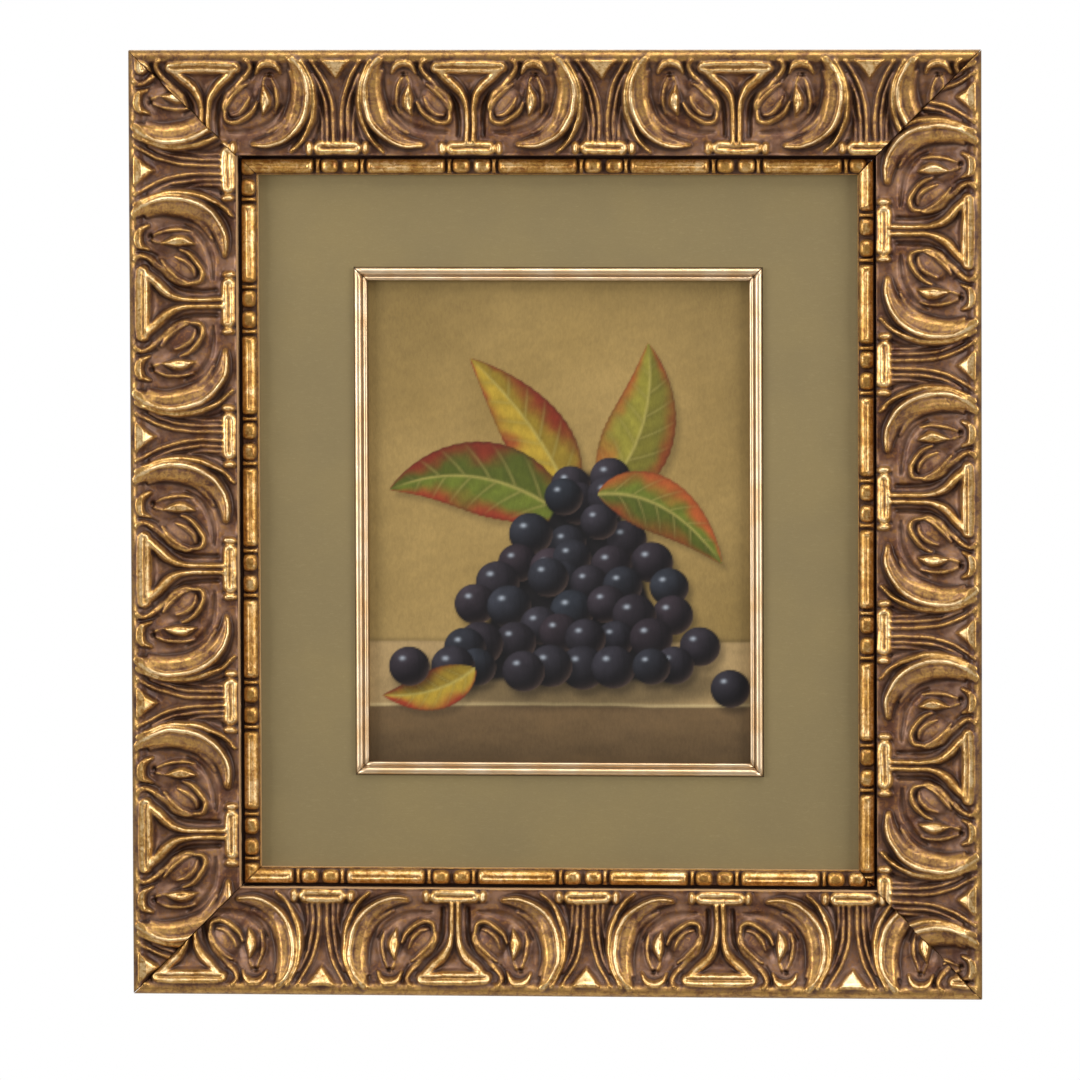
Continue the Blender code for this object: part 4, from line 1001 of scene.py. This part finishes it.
class StudioSettings(bpy.types.PropertyGroup):
    """The camera's place and the lamps."""

    distance: measure("Camera distance", "From the camera to the picture's face", "DISTANCE", "LENGTH", 6.0)
    bearing: measure(
        "Bearing", "How far right of straight on the camera stands", "ANGLE", "ROTATION", math.radians(5.8),
    )
    elevation: measure(
        "Elevation", "How far above level the camera looks from", "ANGLE", "ROTATION", math.radians(3.9),
    )
    lamp_power: measure("Lamp power", "Power of each side lamp", "POWER", "POWER", 26.0)


class PICTURE_OT_rails(bpy.types.Operator):
    """Makes the four carved and gilded rails"""

    bl_idname = "picture.make_rails"
    bl_label = "Make carved rails"

    def execute(self, context):
        sizes, colours = context.scene.picture_sizes, context.scene.picture_colours
        carving = Carving()
        materials = [
            gilding_finish("carved_gilding", colours, 0.85, 0.3, (1.0, 0.98, 0.9)),
            toned_side_finish(colours),
            bare_wood_finish(colours),
        ]
        for side in QUARTERS:
            make_rail(side, sizes, carving, materials)
        return {"FINISHED"}


class PICTURE_OT_slips(bpy.types.Operator):
    """Makes the four lengths of bar-and-bead slip"""

    bl_idname = "picture.make_slips"
    bl_label = "Make beaded slip"

    def execute(self, context):
        sizes, colours = context.scene.picture_sizes, context.scene.picture_colours
        gilding = gilding_finish("slip_gilding", colours, 0.6, 0.36, (0.96, 0.88, 0.62))
        materials = [gilding, bare_wood_finish(colours)]
        for side in QUARTERS:
            make_slip(side, sizes, materials)
        return {"FINISHED"}


class PICTURE_OT_fillets(bpy.types.Operator):
    """Makes the four lengths of burnished fillet"""

    bl_idname = "picture.make_fillets"
    bl_label = "Make pale fillet"

    def execute(self, context):
        materials = [pale_leaf_finish(context.scene.picture_colours)]
        for side in QUARTERS:
            make_fillet(side, context.scene.picture_sizes, materials)
        return {"FINISHED"}


class PICTURE_OT_panel(bpy.types.Operator):
    """Paints the still life on its panel"""

    bl_idname = "picture.paint_panel"
    bl_label = "Paint panel"

    def execute(self, context):
        back = board_finish("panel_back", srgb(150, 118, 82), srgb(96, 70, 44))
        make_painted_panel([paint_finish(), back])
        return {"FINISHED"}


class PICTURE_OT_boards(bpy.types.Operator):
    """Gives the mat and the boards behind it their finishes"""

    bl_idname = "picture.finish_boards"
    bl_label = "Finish boards"

    def execute(self, context):
        olive = context.scene.picture_colours.mat
        dress("mat", board_finish("olive_mat_board", olive, srgb(176, 160, 116), 1800.0, 0.1))
        dress("sink_board", board_finish("grey_board", srgb(168, 162, 150), srgb(110, 104, 96)))
        brown, dark_brown = srgb(166, 128, 86), srgb(108, 76, 44)
        dress("backing_board", board_finish("kraft_backing_board", brown, dark_brown, 1000.0, 0.45))
        return {"FINISHED"}


class PICTURE_OT_fittings(bpy.types.Operator):
    """Gives the hanger, nails, points and bumpers their finishes"""

    bl_idname = "picture.finish_fittings"
    bl_label = "Finish fittings"

    def execute(self, context):
        drawn = (0.15, 1.0, 1.0)
        steel = metal_finish("zinc_plated_steel", srgb(196, 196, 190), srgb(128, 124, 112), 0.34, drawn)
        brass = metal_finish("brass_nail", srgb(206, 164, 84), srgb(120, 88, 44), 0.3)
        felt = felt_finish()
        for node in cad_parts:
            if node == "hanger" or node.startswith("glazing_point"):
                dress(node, steel)
            elif node.startswith("hanger_nail"):
                dress(node, brass)
            elif node.startswith("bumper"):
                dress(node, felt)
        return {"FINISHED"}


class PICTURE_OT_studio(bpy.types.Operator):
    """Makes the floor, lamps, white surroundings and camera"""

    bl_idname = "picture.make_studio"
    bl_label = "Make studio"

    def execute(self, context):
        studio = context.scene.picture_studio
        middle = (LOW + HIGH) / 2
        make_floor(middle)
        make_lamps(studio, middle)
        make_surroundings()
        make_camera(studio, middle)
        context.scene.view_settings.view_transform = "Standard"
        return {"FINISHED"}


def floor_finish():
    """The studio floor: plain pale paint with the faintest mottling."""
    made = Finish("studio_floor")
    mottle = made.noise(made.place(), 4.0, 3.0)
    colour = made.turning(mottle, 0.3, 0.7, srgb(234, 232, 228), srgb(240, 239, 236))
    return made.surface(Base_Color=colour, Roughness=0.7)


def make_floor(middle):
    """A thin round slab as far below the picture as a hung picture's floor is, its rim a circle of points."""
    radius, top, thick, count = 2.0, LOW.z - 1.45, 0.02, 96
    turn = np.linspace(0.0, 2 * np.pi, count, endpoint=False)
    rim = np.column_stack([radius * np.cos(turn), radius * np.sin(turn) + middle.y])
    points = np.vstack([np.column_stack([rim, np.full(count, level)]) for level in (top, top - thick)])
    a = np.arange(count)
    b = np.roll(a, -1)
    sides = np.column_stack([a + count, b + count, b, a])
    mesh = bpy.data.meshes.new("studio_floor")
    mesh.from_pydata(points, [], [a.tolist(), (a + count)[::-1].tolist(), *sides.tolist()])
    mesh.materials.append(floor_finish())
    link("studio_floor", mesh)


def make_lamps(studio, middle):
    """Soft square lamps: one in front at each side, one in front overhead and a weaker one behind."""
    for name, offset, size, power in (
        ("lamp_left", (-1.55, -1.05, 0.25), 0.75, studio.lamp_power),
        ("lamp_right", (1.55, -1.05, 0.35), 0.75, studio.lamp_power),
        ("lamp_above", (0.1, -1.0, 1.7), 1.0, studio.lamp_power),
        ("lamp_behind", (0.0, 1.8, 1.0), 1.6, studio.lamp_power * 0.8),
    ):
        lamp = bpy.data.lights.new(name, "AREA")
        lamp.shape, lamp.size, lamp.energy = "SQUARE", size, power
        obj = bpy.data.objects.new(name, lamp)
        obj.location = middle + Vector(offset)
        obj.rotation_mode = "QUATERNION"
        obj.rotation_quaternion = (middle - obj.location).to_track_quat("-Z", "Y")
        obj.visible_camera = False
        bpy.context.scene.collection.objects.link(obj)


def make_surroundings():
    """White to the camera, and a dimmer light from all round, brighter above, to the picture."""
    world = bpy.data.worlds.new("studio_surroundings")
    bpy.context.scene.world = world
    world.use_nodes = True
    sky = Nodes(world.node_tree)
    sky.tree.nodes.clear()
    around = sky.add("ShaderNodeTexCoord").outputs["Generated"]
    height = sky.add("ShaderNodeSeparateXYZ", {0: around}).outputs["Z"]
    ramp = {"Value": height, "From Min": -0.6, "From Max": 0.8, "To Min": 0.36, "To Max": 0.74}
    strength = sky.add("ShaderNodeMapRange", ramp).outputs["Result"]
    lit = sky.add("ShaderNodeBackground", {"Strength": strength}).outputs[0]
    seen = sky.add("ShaderNodeBackground", {"Color": (1.0, 1.0, 1.0)}).outputs[0]
    to_camera = sky.add("ShaderNodeLightPath").outputs["Is Camera Ray"]
    both = sky.add("ShaderNodeMixShader", {0: to_camera, 1: lit, 2: seen}).outputs[0]
    sky.add("ShaderNodeOutputWorld", {0: both})


def make_camera(studio, middle):
    """A long lens right of the picture and above it, which takes in metres_across at the picture's face.
    The small shift puts the picture's middle where the photograph has it, and the small roll shares the
    lean that such a view gives upright and level lines."""
    camera = bpy.data.cameras.new("camera")
    obj = bpy.data.objects.new("camera", camera)
    bpy.context.scene.collection.objects.link(obj)
    pixels_across, metres_across = 1080, 0.5555 / 1.005
    camera.sensor_width = 36.0
    camera.lens = camera.sensor_width * studio.distance / metres_across
    camera.shift_x, camera.shift_y = -14.0 / pixels_across, -15.0 / pixels_across
    camera.clip_end = 60.0
    a, e = studio.bearing, studio.elevation
    back = Vector((math.sin(a) * math.cos(e), -math.cos(a) * math.cos(e), math.sin(e)))
    aim = Vector((middle.x, LOW.y, middle.z))
    obj.location = aim + back * studio.distance
    obj.rotation_mode = "QUATERNION"
    roll = Quaternion((0.0, 0.0, 1.0), -math.tan(a) * math.sin(e) / 2)
    obj.rotation_quaternion = (-back).to_track_quat("-Z", "Y") @ roll
    bpy.context.scene.camera = obj


OPERATORS = (
    PICTURE_OT_rails,
    PICTURE_OT_slips,
    PICTURE_OT_fittings,
    PICTURE_OT_boards,
    PICTURE_OT_fillets,
    PICTURE_OT_panel,
    PICTURE_OT_studio,
)


class PICTURE_PT_panel(bpy.types.Panel):
    """Lists the picture's pieces, sizes and colours"""

    bl_idname = "PICTURE_PT_panel"
    bl_label = "Carved Gilt Picture"
    bl_space_type = "VIEW_3D"
    bl_region_type = "UI"
    bl_category = "Picture"

    def draw(self, context):
        layout = self.layout
        for kind in GROUPS:
            group = getattr(context.scene, kind)
            box = layout.box()
            for name in group.__annotations__:
                box.prop(group, name)
        for operator in OPERATORS:
            layout.operator(operator.bl_idname)


GROUPS = {"picture_sizes": PictureSizes, "picture_colours": PictureColours, "picture_studio": StudioSettings}
CLASSES = (*GROUPS.values(), *OPERATORS, PICTURE_PT_panel)


def register():
    for cls in CLASSES:
        bpy.utils.register_class(cls)
    for name, group in GROUPS.items():
        setattr(bpy.types.Scene, name, bpy.props.PointerProperty(type=group))


def unregister():
    for name in GROUPS:
        delattr(bpy.types.Scene, name)
    for cls in reversed(CLASSES):
        bpy.utils.unregister_class(cls)


def main():
    register()
    for operator in OPERATORS:
        kind, name = operator.bl_idname.split(".")
        if getattr(getattr(bpy.ops, kind), name)() != {"FINISHED"}:
            raise RuntimeError(f"{operator.bl_label} did not finish")


if __name__ == "__main__":
    main()
